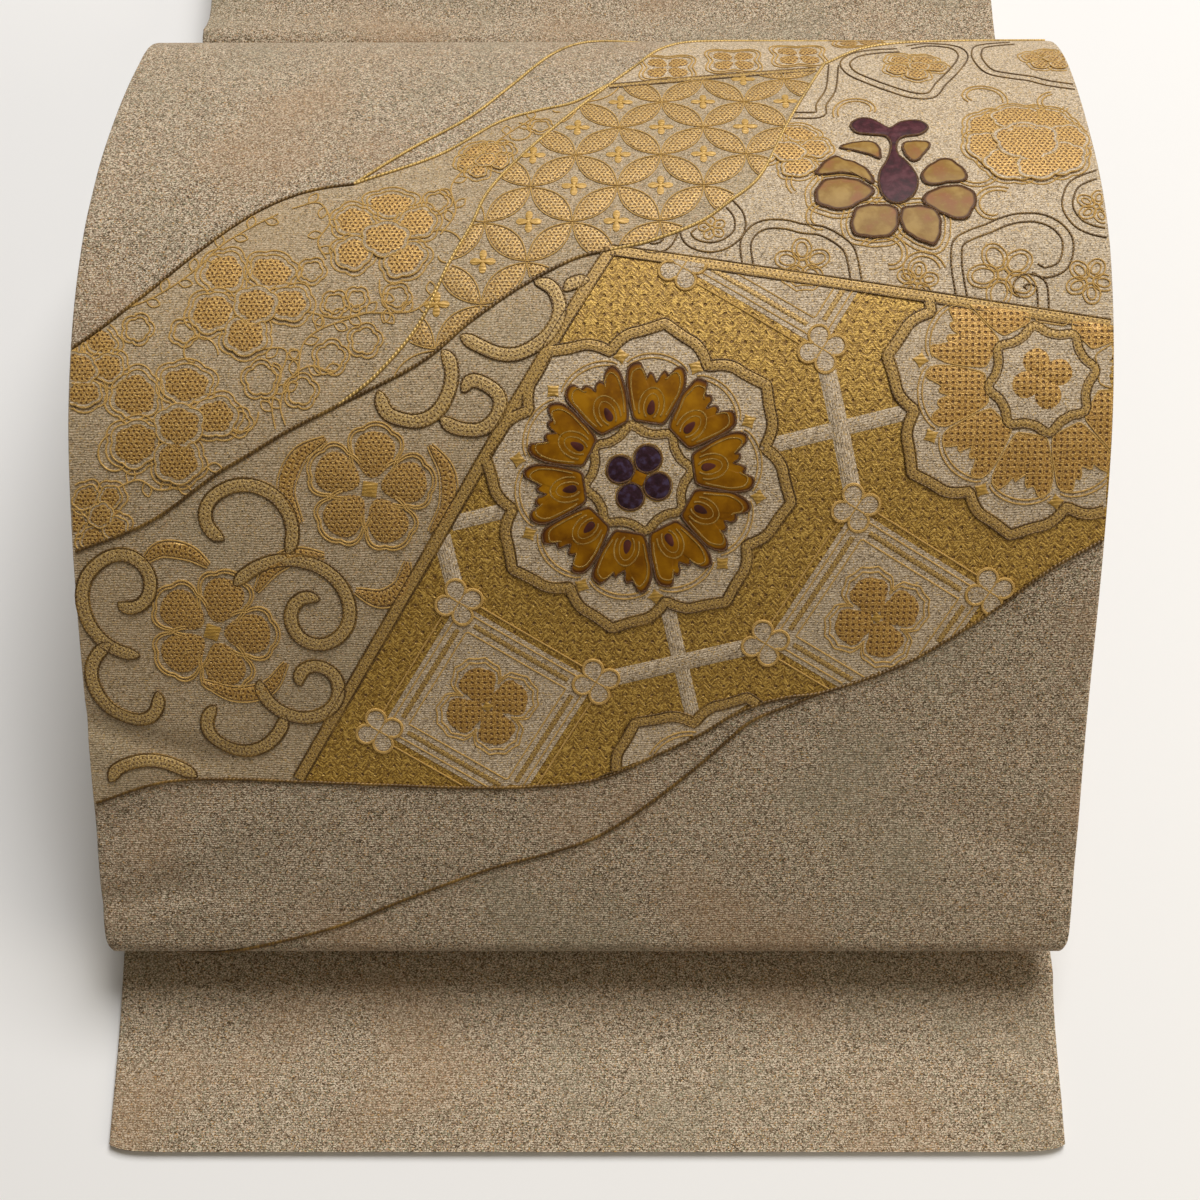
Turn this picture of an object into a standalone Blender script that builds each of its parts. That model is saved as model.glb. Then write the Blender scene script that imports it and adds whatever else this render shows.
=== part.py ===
"""Obi sash folded into its drum bow and laid on a surface. Metres, +Z up, front (the flap's hem) at -Y.

One length of doubled silk brocade runs through every fold. From its hem it lies flat as the flap, turns
back on itself inside the drum, turns again at the drum's lower edge, rises as the arched drum panel, comes
down on the rest of its length, which is folded to and fro behind, and crosses the top of that pile.

The cloth's middle line is drawn in the side plane by named stations. Every wall is lofted round that line,
and the inlays are plates made from points of the drum panel, moved out along its normal.
"""

import math

import bmesh
import bpy
import numpy as np

# Cloth
WIDTH = 0.310
THICK = 0.0024
GAP = 0.0003
EDGE_ROUND = 0.0009

# The pile of folded length behind the drum
PILE_LAYERS = 8
PILE_PITCH = THICK + GAP
PILE_FRONT = 0.388
PILE_BACK = 0.790
PILE_TOP = PILE_LAYERS * PILE_PITCH
NOSE = THICK + GAP / 2
NOSE_MIDDLE = 0.8 * NOSE
GROOVE = 0.0008
CORNER = 0.004
SHUFFLE = 0.0010

# How the cloth leans: higher on the right over the crest, and drawn to the right behind it
TWIST = 0.0028
DRIFT = 0.0047

# The soft ridge where the cloth comes down on the pile, highest at its left edge
RIDGE_LEFT = 0.0078
RIDGE_RIGHT = 0.0006
RIDGE_REACH = 0.0085

# Inlays on the drum panel. A place is (across from the middle, along from the drum's lower edge).
INLAY_THICK = 0.0008
PETAL_GAP = 0.0010
ROSETTE_AT = (0.0152, 0.1531)
ROSETTE_PETALS = 10
ROSETTE_TURN_DEG = 9.0
ROSETTE_INNER = 0.0165
ROSETTE_OUTER = 0.0330
DISC_RADIUS = 0.0040
DISC_RING = 0.0061
DISC_TURN_DEG = 66.0
BUD_AT = (0.0922, 0.2453)
BELLY_HALF = 0.0057
BELLY_REACH = 0.0098
NECK_HALF = 0.0014
FORK_HALF = 0.0115
CALYX_TOP = 0.0285
CALYX_LEAN = -0.0031

# The bud's petals: name, bearing in degrees (0 is right), half angle in degrees, near and far reach.
BUD_PETALS = (
    ("foot_left", -114, 19, 0.0112, 0.0245),
    ("foot_right", -70, 19, 0.0112, 0.0262),
    ("low_right", -23, 17, 0.0080, 0.0255),
    ("mid_right", 20, 16, 0.0080, 0.0235),
    ("high_right", 70, 11, 0.0118, 0.0215),
    ("high_left", 127, 12, 0.0112, 0.0235),
    ("mid_left", 160, 14, 0.0080, 0.0270),
    ("low_left", 193, 15, 0.0080, 0.0262),
)

# The rear run lies a gap above the pile and turns down behind it round half a layer's pitch.
TURN = PILE_PITCH / 2
RUN_Z = PILE_TOP + GAP + THICK / 2
REAR_MOST = PILE_BACK + TURN + THICK / 2
MIDDLE_Y = REAR_MOST / 2

# The cloth's middle line in the side plane: name, y from the hem, z, heading in degrees (0 is to the back).
STATIONS = (
    ("hem", 0.0000, 0.0012, 0.0),
    ("flap lies", 0.0300, 0.0012, 0.0),
    ("flap lifts", 0.0700, 0.0047, 3.0),
    ("flap end", 0.1980, 0.0052, 0.0),
    ("inner turn", 0.2008, 0.0080, 90.0),
    ("inner back", 0.1980, 0.0108, 180.0),
    ("lower edge", 0.0696, 0.0180, 176.5),
    ("drum front", 0.0654, 0.0225, 90.0),
    ("drum start", 0.0674, 0.0262, 36.0),
    ("slope", 0.1228, 0.0648, 34.0),
    ("shoulder", 0.1756, 0.1007, 31.0),
    ("rise", 0.2100, 0.1182, 19.5),
    ("crest", 0.2580, 0.1268, 0.0),
    ("fall", 0.2970, 0.1201, -18.0),
    ("back", 0.3430, 0.1011, -28.5),
    ("brow", 0.3610, 0.0882, -48.0),
    ("steep", 0.3760, 0.0640, -67.0),
    ("foot", 0.3860, 0.0385, -60.0),
    ("landing", 0.3990, 0.0243, -15.0),
    ("on pile", 0.4110, RUN_Z, 0.0),
    ("pile end", PILE_BACK, RUN_Z, 0.0),
    ("rear turn", PILE_BACK + TURN, RUN_Z - TURN, -90.0),
    ("rear back", PILE_BACK, RUN_Z - 2 * TURN, -180.0),
)
LINE_STEP = 0.0005

# Each stretch of cloth: node, first station, last station, longest step between its sections.
STRETCHES = (
    ("flap", "hem", "flap end", 0.020),
    ("inner_fold", "flap end", "lower edge", 0.024),
    ("drum", "lower edge", "landing", 0.0105),
    ("rear_run", "landing", "rear back", 0.040),
)
TURN_STEP_DEG = 18.0
SHORTEST_STEP = 0.0004
ACROSS = 6

BROCADE = ("brocade", (0.56, 0.47, 0.36), 0.62, 0.0)
AMBER = ("amber_inlay", (0.50, 0.27, 0.05), 0.25, 0.1)
VIOLET = ("violet_inlay", (0.17, 0.08, 0.15), 0.25, 0.1)


def clear_scene():
    for obj in list(bpy.data.objects):
        bpy.data.objects.remove(obj, do_unlink=True)


def material(spec):
    """A Principled material from (name, colour, roughness, metallic), made once."""
    name, colour, roughness, metallic = spec
    found = bpy.data.materials.get(name)
    if found:
        return found
    made = bpy.data.materials.new(name)
    made.use_nodes = True
    shader = made.node_tree.nodes["Principled BSDF"]
    shader.inputs["Base Color"].default_value = (*colour, 1.0)
    shader.inputs["Roughness"].default_value = roughness
    shader.inputs["Metallic"].default_value = metallic
    return made


def add_object(name, bm, spec):
    """Makes the object of a closed bmesh, shades it smooth with its sharp edges kept, and colours it."""
    bmesh.ops.recalc_face_normals(bm, faces=bm.faces)
    mesh = bpy.data.meshes.new(name)
    bm.to_mesh(mesh)
    bm.free()
    mesh.shade_smooth()
    mesh.set_sharp_from_angle(angle=math.radians(40))
    mesh.materials.append(material(spec))
    obj = bpy.data.objects.new(name, mesh)
    bpy.context.scene.collection.objects.link(obj)
    return obj


def span_points(a, b):
    """One span of the middle line: a cubic with the handles of an arc that turns from a's heading to b's."""
    start, end = np.array(a[1:3]), np.array(b[1:3])
    chord = np.linalg.norm(end - start)
    turn = math.radians(abs(b[3] - a[3]))
    handle = chord if turn < 1e-6 else chord * 2 * math.tan(turn / 4) / math.sin(turn / 2)
    leave, arrive = (
        handle * np.array([math.cos(math.radians(row[3])), math.sin(math.radians(row[3]))])
        for row in (a, b)
    )
    count = max(4, math.ceil(chord / LINE_STEP))
    s = np.linspace(0, 1, count, endpoint=False)[:, None]
    return (
        (2 * s**3 - 3 * s**2 + 1) * start
        + (s**3 - 2 * s**2 + s) * leave
        + (3 * s**2 - 2 * s**3) * end
        + (s**3 - s**2) * arrive
    )


class MiddleLine:
    """The cloth's middle line, read by distance along it from the hem."""

    def __init__(self, stations):
        spans = [span_points(a, b) for a, b in zip(stations, stations[1:])]
        self.points = np.vstack([*spans, [stations[-1][1:3]]])
        steps = np.linalg.norm(np.diff(self.points, axis=0), axis=1)
        self.along = np.concatenate([[0], np.cumsum(steps)])
        firsts = np.cumsum([0] + [len(span) for span in spans])
        self.at = {row[0]: self.along[i] for row, i in zip(stations, firsts)}
        slope = np.gradient(self.points, self.along, axis=0)
        self.heading = np.unwrap(np.arctan2(slope[:, 1], slope[:, 0]))

    def place(self, across, along, lift):
        """The point at that place on the cloth, lift above its middle, leaning as the drum does."""
        y, z = (np.interp(along, self.along, self.points[:, k]) for k in (0, 1))
        heading = np.interp(along, self.along, self.heading)
        y, z = y - lift * np.sin(heading), z + lift * np.cos(heading)
        side = across / (WIDTH / 2)
        over = np.interp(along, [self.at["slope"], self.at["crest"], self.at["steep"]], [0, 1, 0])
        lean = np.interp(along, [self.at["slope"], self.at["back"]], [0, 1])
        ridge = np.exp(-(((along - self.at["on pile"]) / RIDGE_REACH) ** 2))
        z = z + TWIST * over * side
        z = z + ridge * (RIDGE_LEFT * (1 - side) + RIDGE_RIGHT * (1 + side)) / 2
        return np.stack([across + DRIFT * (lean**2 - 0.5), y - MIDDLE_Y, z], axis=-1)

    def sections(self, first, last, step):
        """Distances for a wall's sections: no longer than step, and closer where the cloth turns."""
        found = [first]
        while found[-1] < last:
            here = found[-1]
            ahead = here + np.linspace(0, step, 60)[1:]
            turned = np.abs(
                np.interp(ahead, self.along, self.heading) - np.interp(here, self.along, self.heading)
            )
            far = ahead[turned <= math.radians(TURN_STEP_DEG)]
            found.append(min(last, far[-1] if len(far) else ahead[0]))
        if len(found) > 2 and found[-1] - found[-2] < SHORTEST_STEP:
            found.pop(-2)
        return np.array(found)


def wall_profile():
    """The outline of the cloth cut across: (across, lift) pairs, flat faces with rounded long edges."""
    half, up = WIDTH / 2, THICK / 2
    flat = np.linspace(-half + EDGE_ROUND, half - EDGE_ROUND, ACROSS + 1)
    top = [(x, up) for x in flat]
    under = [(x, -up) for x in flat[::-1]]
    return np.array([*top, (half, up - EDGE_ROUND), (half, EDGE_ROUND - up), *under,
                     (-half, EDGE_ROUND - up), (-half, up - EDGE_ROUND)])


def loft(bm, rings):
    """Joins rings of equal size into one closed skin, with a flat face on each end."""
    rows = [[bm.verts.new(point) for point in ring] for ring in rings]
    for low, high in zip(rows, rows[1:]):
        for i in range(len(low)):
            j = (i + 1) % len(low)
            bm.faces.new((low[i], low[j], high[j], high[i]))
    bm.faces.new(rows[0])
    bm.faces.new(rows[-1])


def build_stretches(line):
    """The flap, the fold inside, the drum panel and the run over the pile, a gap apart where they join."""
    outline = wall_profile()
    for name, first, last, step in STRETCHES:
        start = line.at[first] + (GAP if first != STATIONS[0][0] else 0)
        bm = bmesh.new()
        loft(bm, [
            line.place(outline[:, 0], np.full(len(outline), v), outline[:, 1])
            for v in line.sections(start, line.at[last], step)
        ])
        add_object(name, bm, BROCADE)


def pile_ring(level, half_width, front, back):
    """A rectangle with clipped corners at one height of the pile."""
    corners = ((1, 1, back), (-1, 1, back), (-1, -1, front), (1, -1, front))
    points = []
    for side_x, side_y, end in corners:
        x, y = side_x * half_width, end
        pair = [(x, y - side_y * CORNER), (x - side_x * CORNER, y)]
        points += pair if side_x * side_y > 0 else pair[::-1]
    return [(x + DRIFT / 2, y - MIDDLE_Y, level) for x, y in points]


def build_pile():
    """The folded length as one solid. Folds show at front and back, and layer edges at the sides."""
    rings = []
    for half_layer in range(2 * PILE_LAYERS + 1):
        layer, mid_layer = divmod(half_layer, 2)
        level = half_layer * PILE_PITCH / 2
        shift = SHUFFLE * math.sin(2.3 * layer)
        if mid_layer:
            front = PILE_FRONT - NOSE_MIDDLE + shift
            back = PILE_BACK + (NOSE_MIDDLE if 0 < layer < PILE_LAYERS - 1 else -GAP) - abs(shift) / 2
            half = WIDTH / 2 - abs(shift) / 2
        else:
            nose_in_front = layer % 2 == 1
            nose_behind = layer % 2 == 0 and 0 < layer < PILE_LAYERS
            front = PILE_FRONT - (NOSE if nose_in_front else 0)
            back = PILE_BACK + (NOSE if nose_behind else -2 * GAP)
            half = WIDTH / 2 - GROOVE
        if layer >= PILE_LAYERS - 1:
            back = min(back, PILE_BACK - 2 * GAP)
        rings.append(pile_ring(level, half, front, back))
    bm = bmesh.new()
    loft(bm, rings)
    add_object("folded_pile", bm, BROCADE)


def plate(name, line, across, along, spec):
    """A thin closed plate on the drum panel from a grid of (across, along) places, edge rows on its rim."""
    start = line.at["drum front"]
    low = THICK / 2 + GAP
    bm = bmesh.new()
    faces = []
    for lift in (low, low + INLAY_THICK):
        grid = line.place(across, start + along, np.full(across.shape, lift))
        faces.append([[bm.verts.new(p) for p in row] for row in grid])
    rows, columns = across.shape
    for i in range(rows - 1):
        for j in range(columns - 1):
            for layer in faces:
                bm.faces.new((layer[i][j], layer[i + 1][j], layer[i + 1][j + 1], layer[i][j + 1]))
    rim = [(i, 0) for i in range(rows)] + [(rows - 1, j) for j in range(1, columns)]
    rim += [(i, columns - 1) for i in range(rows - 2, -1, -1)] + [(0, j) for j in range(columns - 2, 0, -1)]
    for (i, j), (k, m) in zip(rim, rim[1:] + rim[:1]):
        bm.faces.new((faces[0][i][j], faces[0][k][m], faces[1][k][m], faces[1][i][j]))
    add_object(name, bm, spec)


def disc_grid(centre, radius, columns=7):
    """A square grid squeezed into a disc, so that its rim is round and it has no pole."""
    a, b = np.meshgrid(np.linspace(-1, 1, columns), np.linspace(-1, 1, columns), indexing="ij")
    x, y = a * np.sqrt(1 - b**2 / 2), b * np.sqrt(1 - a**2 / 2)
    return centre[0] + radius * x, centre[1] + radius * y


def petal_grid(centre, bearing, half_angle, near, far, notch):
    """A petal that widens from near to far along a bearing. Its far edge is rounded, with a notch."""
    a, b = np.meshgrid(np.linspace(-1, 1, 9), np.linspace(0, 1, 5), indexing="ij")
    rounding = 1 - 0.10 * a**4 - notch * np.exp(-((a * 2.5) ** 2))
    reach = near + b * (far - near) * rounding
    side = a * (math.tan(half_angle) * reach * (1 - 0.18 * b**3) - PETAL_GAP / 2)
    c, s = math.cos(bearing), math.sin(bearing)
    return centre[0] + reach * c - side * s, centre[1] + reach * s + side * c


def build_rosette(line):
    """The round flower: ten notched petals in a ring, and four round discs at its heart."""
    step = math.tau / ROSETTE_PETALS
    for k in range(ROSETTE_PETALS):
        bearing = math.radians(ROSETTE_TURN_DEG) + step * k
        grid = petal_grid(ROSETTE_AT, bearing, step / 2, ROSETTE_INNER, ROSETTE_OUTER, 0.14)
        plate(f"rosette_petal_{k + 1}", line, *grid, AMBER)
    for k in range(4):
        turn = math.radians(DISC_TURN_DEG + 90 * k)
        centre = (ROSETTE_AT[0] + DISC_RING * math.cos(turn), ROSETTE_AT[1] + DISC_RING * math.sin(turn))
        plate(f"rosette_disc_{k + 1}", line, *disc_grid(centre, DISC_RADIUS), VIOLET)


def build_bud(line):
    """The half-open flower: petals fanned round a calyx with a round belly, a thin neck and a forked top."""
    for name, degrees, half_degrees, near, far in BUD_PETALS:
        grid = petal_grid(BUD_AT, math.radians(degrees), math.radians(half_degrees), near, far, 0.06)
        plate(f"bud_petal_{name}", line, *grid, AMBER)
    a, b = np.meshgrid(np.linspace(-1, 1, 7), np.linspace(0, 1, 17), indexing="ij")
    reach = b * (BELLY_REACH + CALYX_TOP) - BELLY_REACH
    belly = BELLY_HALF * np.sqrt(np.clip(1 - (reach / BELLY_REACH) ** 2, 0, 1))
    fork = FORK_HALF * np.clip((reach / CALYX_TOP - 0.70) / 0.18, 0, 1)
    across = BUD_AT[0] + a * np.maximum(np.maximum(belly, fork), NECK_HALF)
    lean = CALYX_LEAN * np.clip(reach / CALYX_TOP, 0, 1)
    plate("bud_calyx", line, across + lean, BUD_AT[1] + reach, VIOLET)


def main():
    clear_scene()
    line = MiddleLine(STATIONS)
    build_stretches(line)
    build_pile()
    build_rosette(line)
    build_bud(line)


main()
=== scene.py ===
"""The looks of an obi sash folded in its drum bow and laid on a surface.

Metres, +Z up, with the flap's hem at -Y. One long figured silk runs through every fold: the flap, the fold
inside, the drum panel, the run behind and the folded length. Its middle line is drawn in the side plane, and
every shell and every stitch is worked out on the flat cloth first and then carried onto that line.

Places on the flat drum panel are in millimetres: across from its middle, and along from its lower edge.
"""

import logging
import math
from dataclasses import dataclass, field
from enum import Enum
from typing import Any, Callable, Sequence

import bpy
import numpy as np
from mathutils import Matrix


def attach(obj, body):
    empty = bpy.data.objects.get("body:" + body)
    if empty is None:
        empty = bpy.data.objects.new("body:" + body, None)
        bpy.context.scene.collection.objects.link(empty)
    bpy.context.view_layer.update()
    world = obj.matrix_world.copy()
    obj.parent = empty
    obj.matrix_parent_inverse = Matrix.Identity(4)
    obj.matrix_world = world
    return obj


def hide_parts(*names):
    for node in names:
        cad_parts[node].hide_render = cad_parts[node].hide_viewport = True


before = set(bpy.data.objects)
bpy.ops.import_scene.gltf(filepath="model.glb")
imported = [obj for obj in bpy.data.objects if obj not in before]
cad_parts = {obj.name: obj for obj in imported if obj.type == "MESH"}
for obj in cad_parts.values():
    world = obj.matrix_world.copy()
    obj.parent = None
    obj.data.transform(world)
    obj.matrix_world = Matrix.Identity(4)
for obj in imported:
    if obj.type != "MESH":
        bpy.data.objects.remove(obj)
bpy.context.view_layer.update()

log = logging.getLogger("obi")
Array = np.ndarray
Pair = tuple[float, float]
Place = tuple[float, float, float]
Colour = tuple[float, float, float]
Rows = tuple[tuple, ...]
Socket = bpy.types.NodeSocket
Node = bpy.types.Node
Tree = bpy.types.NodeTree
Material = bpy.types.Material
Object = bpy.types.Object

MM = 0.001
BODY = "root"

# The cloth
WIDTH = 0.310
THICK = 0.0024
GAP = 0.0003
HALF_MM = WIDTH / 2 / MM
EDGE_ROUND = 0.0010
SEAM_DEPTH = 0.0004
SEAM_HALF = 0.00012

# The folded length behind the drum
PILE_LAYERS = 8
PILE_PITCH = THICK + GAP
PILE_FRONT = 0.388
PILE_BACK = 0.790
PILE_TOP = PILE_LAYERS * PILE_PITCH

# How the cloth leans over the crest, drifts behind it, and stands in a ridge where it comes down
TWIST = 0.0028
DRIFT = 0.0047
RIDGE_LEFT = 0.0078
RIDGE_RIGHT = 0.0006
RIDGE_REACH = 0.0085
SLOPE_FROM_EDGE = 0.0719
CORNER_TUCK = 0.008
HEM_CORNER = 0.0025
CORNER_REACH = 0.0035

TURN = PILE_PITCH / 2
RUN_Z = PILE_TOP + GAP + THICK / 2
REAR_MOST = PILE_BACK + TURN + THICK / 2
MIDDLE_Y = REAR_MOST / 2
LINE_STEP = 0.0005

# The middle line's stations: name, y from the hem, z, heading in degrees (0 is to the back).
STATIONS = (
    ("hem", 0.0000, 0.0012, 0.0),
    ("flap lies", 0.0300, 0.0012, 0.0),
    ("flap lifts", 0.0700, 0.0047, 3.0),
    ("flap end", 0.1980, 0.0052, 0.0),
    ("inner turn", 0.2008, 0.0080, 90.0),
    ("inner back", 0.1980, 0.0108, 180.0),
    ("lower edge", 0.0670, 0.0180, 176.5),
    ("drum front", 0.0628, 0.0225, 90.0),
    ("drum start", 0.0648, 0.0262, 36.0),
    ("slope", 0.1228, 0.0648, 34.0),
    ("shoulder", 0.1756, 0.1007, 31.0),
    ("rise", 0.2100, 0.1182, 19.5),
    ("crest", 0.2580, 0.1268, 0.0),
    ("fall", 0.2970, 0.1201, -18.0),
    ("back", 0.3430, 0.1011, -28.5),
    ("brow", 0.3610, 0.0882, -48.0),
    ("steep", 0.3760, 0.0640, -67.0),
    ("foot", 0.3860, 0.0385, -60.0),
    ("landing", 0.3990, 0.0243, -15.0),
    ("on pile", 0.4110, RUN_Z, 0.0),
    ("pile end", PILE_BACK, RUN_Z, 0.0),
    ("rear turn", PILE_BACK + TURN, RUN_Z - TURN, -90.0),
    ("rear back", PILE_BACK, RUN_Z - 2 * TURN, -180.0),
)


# ---- The cloth's line and its creases ----


@dataclass(frozen=True)
class Crease:
    """A soft trough (negative depth) or ridge in the cloth, in millimetres, its place measured from the hem.

    Its height is depth times a bell across it, times a flat-topped bell along it.
    """

    across: float
    along: float
    bearing: float
    length: float
    width: float
    depth: float

    def lift(self, across: Array, along: Array) -> Array:
        """The crease's height over each place.

        Args:
            across: places across the cloth.
            along: places along it from the hem.

        Returns:
            Heights in millimetres.
        """
        turn = math.radians(self.bearing)
        x, y = across - self.across, along - self.along
        run = x * math.cos(turn) + y * math.sin(turn)
        off = y * math.cos(turn) - x * math.sin(turn)
        bow = 0.06 * self.length * (2 * run / self.length) ** 2
        reach = np.clip((2 * run / self.length) ** 4, 0, 50)
        return self.depth * np.exp(-(((off - bow) / self.width) ** 2) - reach)


def lengths_along(path: Array) -> Array:
    """The distance along a line from its first point to each of its points."""
    return np.concatenate([[0], np.cumsum(np.linalg.norm(np.diff(path, axis=0), axis=1))])


def toward(centre: Pair, bearing: float, reach: float) -> Pair:
    """The place at a bearing in degrees and a distance from a centre."""
    turn = math.radians(bearing)
    return centre[0] + reach * math.cos(turn), centre[1] + reach * math.sin(turn)


def hermite(s: Array, start: Array, leave: Array, end: Array, arrive: Array) -> Array:
    """A cubic at shares s of its way, from start to end, leaving and arriving along two handles."""
    near, far = 2 * s**3 - 3 * s**2 + 1, 3 * s**2 - 2 * s**3
    return near * start + (s**3 - 2 * s**2 + s) * leave + far * end + (s**3 - s**2) * arrive


def span_points(a: tuple, b: tuple) -> Array:
    """Points of the middle line from one station up to the next, by a cubic whose handles are an arc's.

    Args:
        a: the first station's row.
        b: the next station's row.

    Returns:
        Rows of (y, z), without the last point.
    """
    start, end = np.array(a[1:3]), np.array(b[1:3])
    chord = float(np.linalg.norm(end - start))
    turn = math.radians(abs(b[3] - a[3]))
    handle = chord if turn < 1e-6 else chord * 2 * math.tan(turn / 4) / math.sin(turn / 2)
    leave, arrive = (handle * np.array(toward((0.0, 0.0), row[3], 1.0)) for row in (a, b))
    s = np.linspace(0, 1, max(4, math.ceil(chord / LINE_STEP)), endpoint=False)[:, None]
    return hermite(s, start, leave, end, arrive)


class SashLine:
    """The cloth's middle line, read by the distance along it from the hem."""

    def __init__(self, creases: Sequence[Crease]) -> None:
        """Draws the line through the stations.

        Args:
            creases: the troughs and ridges that every surface on the cloth follows.
        """
        spans = [span_points(a, b) for a, b in zip(STATIONS, STATIONS[1:])]
        self.creases = creases
        self.points = np.vstack([*spans, [STATIONS[-1][1:3]]])
        self.along = lengths_along(self.points)
        firsts = np.cumsum([0] + [len(span) for span in spans])
        self.at = {row[0]: float(self.along[i]) for row, i in zip(STATIONS, firsts)}
        slope = np.gradient(self.points, self.along, axis=0)
        self.heading = np.unwrap(np.arctan2(slope[:, 1], slope[:, 0]))

    def place(self, across: Array, along: Array, lift: Array) -> Array:
        """Carries places on the flat cloth onto the folded one.

        The line's point, moved out along its normal by lift, then leaned: higher on the right over the crest,
        drawn to the right behind it, and raised in a bell-shaped ridge where it lands on the pile.

        Args:
            across: metres from the cloth's middle.
            along: metres from the hem.
            lift: metres above the cloth's middle layer.

        Returns:
            World points, with one more axis than the arguments.
        """
        y, z = (np.interp(along, self.along, self.points[:, k]) for k in (0, 1))
        heading = np.interp(along, self.along, self.heading)
        for crease in self.creases:
            lift = lift + MM * crease.lift(across / MM, along / MM)
        y, z = y - lift * np.sin(heading), z + lift * np.cos(heading)
        across = across * (1 - CORNER_TUCK * np.exp(-(((along - self.at["drum front"]) / CORNER_REACH) ** 2)))
        side = across / (WIDTH / 2)
        over = np.interp(along, [self.at["slope"], self.at["crest"], self.at["steep"]], [0, 1, 0])
        lean = np.interp(along, [self.at["slope"], self.at["back"]], [0, 1])
        ridge = np.exp(-(((along - self.at["on pile"]) / RIDGE_REACH) ** 2))
        z = z + TWIST * over * side
        z = z + ridge * (RIDGE_LEFT * (1 - side) + RIDGE_RIGHT * (1 + side)) / 2
        return np.stack([across + DRIFT * (lean**2 - 0.5), y - MIDDLE_Y, z], axis=-1)

    def on_drum(self, points: Array) -> Array:
        """World points of (across, along, lift) rows in drum millimetres on the panel's outer face."""
        across, along, lift = (points[..., k] * MM for k in range(3))
        return self.place(across, self.at["slope"] - SLOPE_FROM_EDGE + along, THICK / 2 + lift)


CREASES = (
    Crease(-128, 398, 24, 90, 9, -0.9),
    Crease(-112, 372, 14, 70, 7, -0.6),
    Crease(132, 384, 160, 80, 9, -0.8),
    Crease(-60, 364, 5, 90, 8, -0.5),
    Crease(-134, 416, -17, 54, 4.5, -1.5),
    Crease(-142, 364, 14, 36, 4.0, -1.2),
    Crease(139, 25, -38, 34, 3.4, 1.2),
    Crease(146, 58, -14, 40, 3.6, 1.3),
    Crease(147, 66, -12, 34, 3.0, -0.8),
    Crease(-120, 150, 12, 60, 8.0, 0.5),
    Crease(-30, 12, 3, 120, 9, 0.5),
    Crease(118, 500, 80, 70, 10, -0.5),
    Crease(-140, 610, 60, 60, 8, -0.7),
    Crease(-60, 900, 12, 140, 10, 0.5),
    Crease(90, 1010, 168, 120, 9, 0.5),
)
LINE = SashLine(CREASES)


# ---- Lines on the flat cloth ----


def evenly(path: Array, step: float) -> Array:
    """Reads a line again at even steps along its length, its two ends kept.

    Args:
        path: rows of (across, along).
        step: the longest step.

    Returns:
        The line's new rows.
    """
    lengths = lengths_along(path)
    at = np.linspace(0, lengths[-1], max(3, math.ceil(lengths[-1] / step) + 1))
    return np.stack([np.interp(at, lengths, path[:, k]) for k in (0, 1)], axis=-1)


def smooth(points: Sequence[Pair], step: float = 1.2, closed: bool = False) -> Array:
    """A smooth line through given points.

    Between two points it is a cubic. Its slope at each point is the line from the point before to the point
    after, so the curve has no corner.

    Args:
        points: places in millimetres.
        step: distance between the points returned.
        closed: whether the last point joins the first.

    Returns:
        Rows of (across, along). A closed line's first point is its last too.
    """
    rows = np.array(points, dtype=float)
    if closed:
        rows = np.vstack([rows[-1:], rows, rows[:2]])
    else:
        rows = np.vstack([2 * rows[0] - rows[1], rows, 2 * rows[-1] - rows[-2]])
    chords = np.linalg.norm(np.diff(rows, axis=0), axis=1) ** 0.5
    knots = np.concatenate([[0], np.cumsum(chords)])
    slopes = (rows[2:] - rows[:-2]) / (knots[2:] - knots[:-2])[:, None]
    spans = np.diff(knots)[1:-1, None, None]
    s = np.linspace(0, 1, 24, endpoint=False)[None, :, None]
    curve = hermite(s, rows[1:-2, None, :], slopes[:-1, None, :] * spans, rows[2:-1, None, :],
                    slopes[1:, None, :] * spans)
    return evenly(np.vstack([curve.reshape(-1, 2), rows[-2]]), step)


def turned(run: Array, side: Array, bearing: float, centre: Pair) -> Array:
    """Places given by distances along a bearing in degrees from a centre, and to its left."""
    c, s = toward((0.0, 0.0), bearing, 1.0)
    return np.stack([centre[0] + run * c - side * s, centre[1] + run * s + side * c], axis=-1)


def spiral(centre: Pair, start: float, sweep: float, radii: Sequence[float], step: float = 1.0) -> Array:
    """A line round a centre whose radius passes through the given radii at even turns.

    Args:
        centre: the place it turns about.
        start: bearing of its first point, in degrees.
        sweep: how far it turns, in degrees, positive to the left.
        radii: its radii at even steps of the turn.
        step: distance between the points returned.

    Returns:
        Rows of (across, along).
    """
    turn = np.radians(np.linspace(0, sweep, 160))
    knots = smooth([(k * 10.0, r) for k, r in enumerate(radii)], 0.5)
    radius = np.interp(np.linspace(0, 10.0 * (len(radii) - 1), 160), knots[:, 0], knots[:, 1])
    return evenly(turned(radius * np.cos(turn), radius * np.sin(turn), start, centre), step)


def normals(path: Array) -> Array:
    """The unit normal to the left of a line at each of its points.

    Args:
        path: rows of (across, along). Its first point is its last where it is closed.

    Returns:
        A row for each point.
    """
    slope = np.gradient(path, axis=0)
    if np.allclose(path[0], path[-1]):
        slope[0] = slope[-1] = path[1] - path[-2]
    slope /= np.maximum(np.linalg.norm(slope, axis=1, keepdims=True), 1e-9)
    return np.stack([-slope[:, 1], slope[:, 0]], axis=-1)


def offset(path: Array, side: Array | float) -> Array:
    """The line moved to its left by side."""
    return path + np.reshape(side, (-1, 1)) * normals(path)


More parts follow.
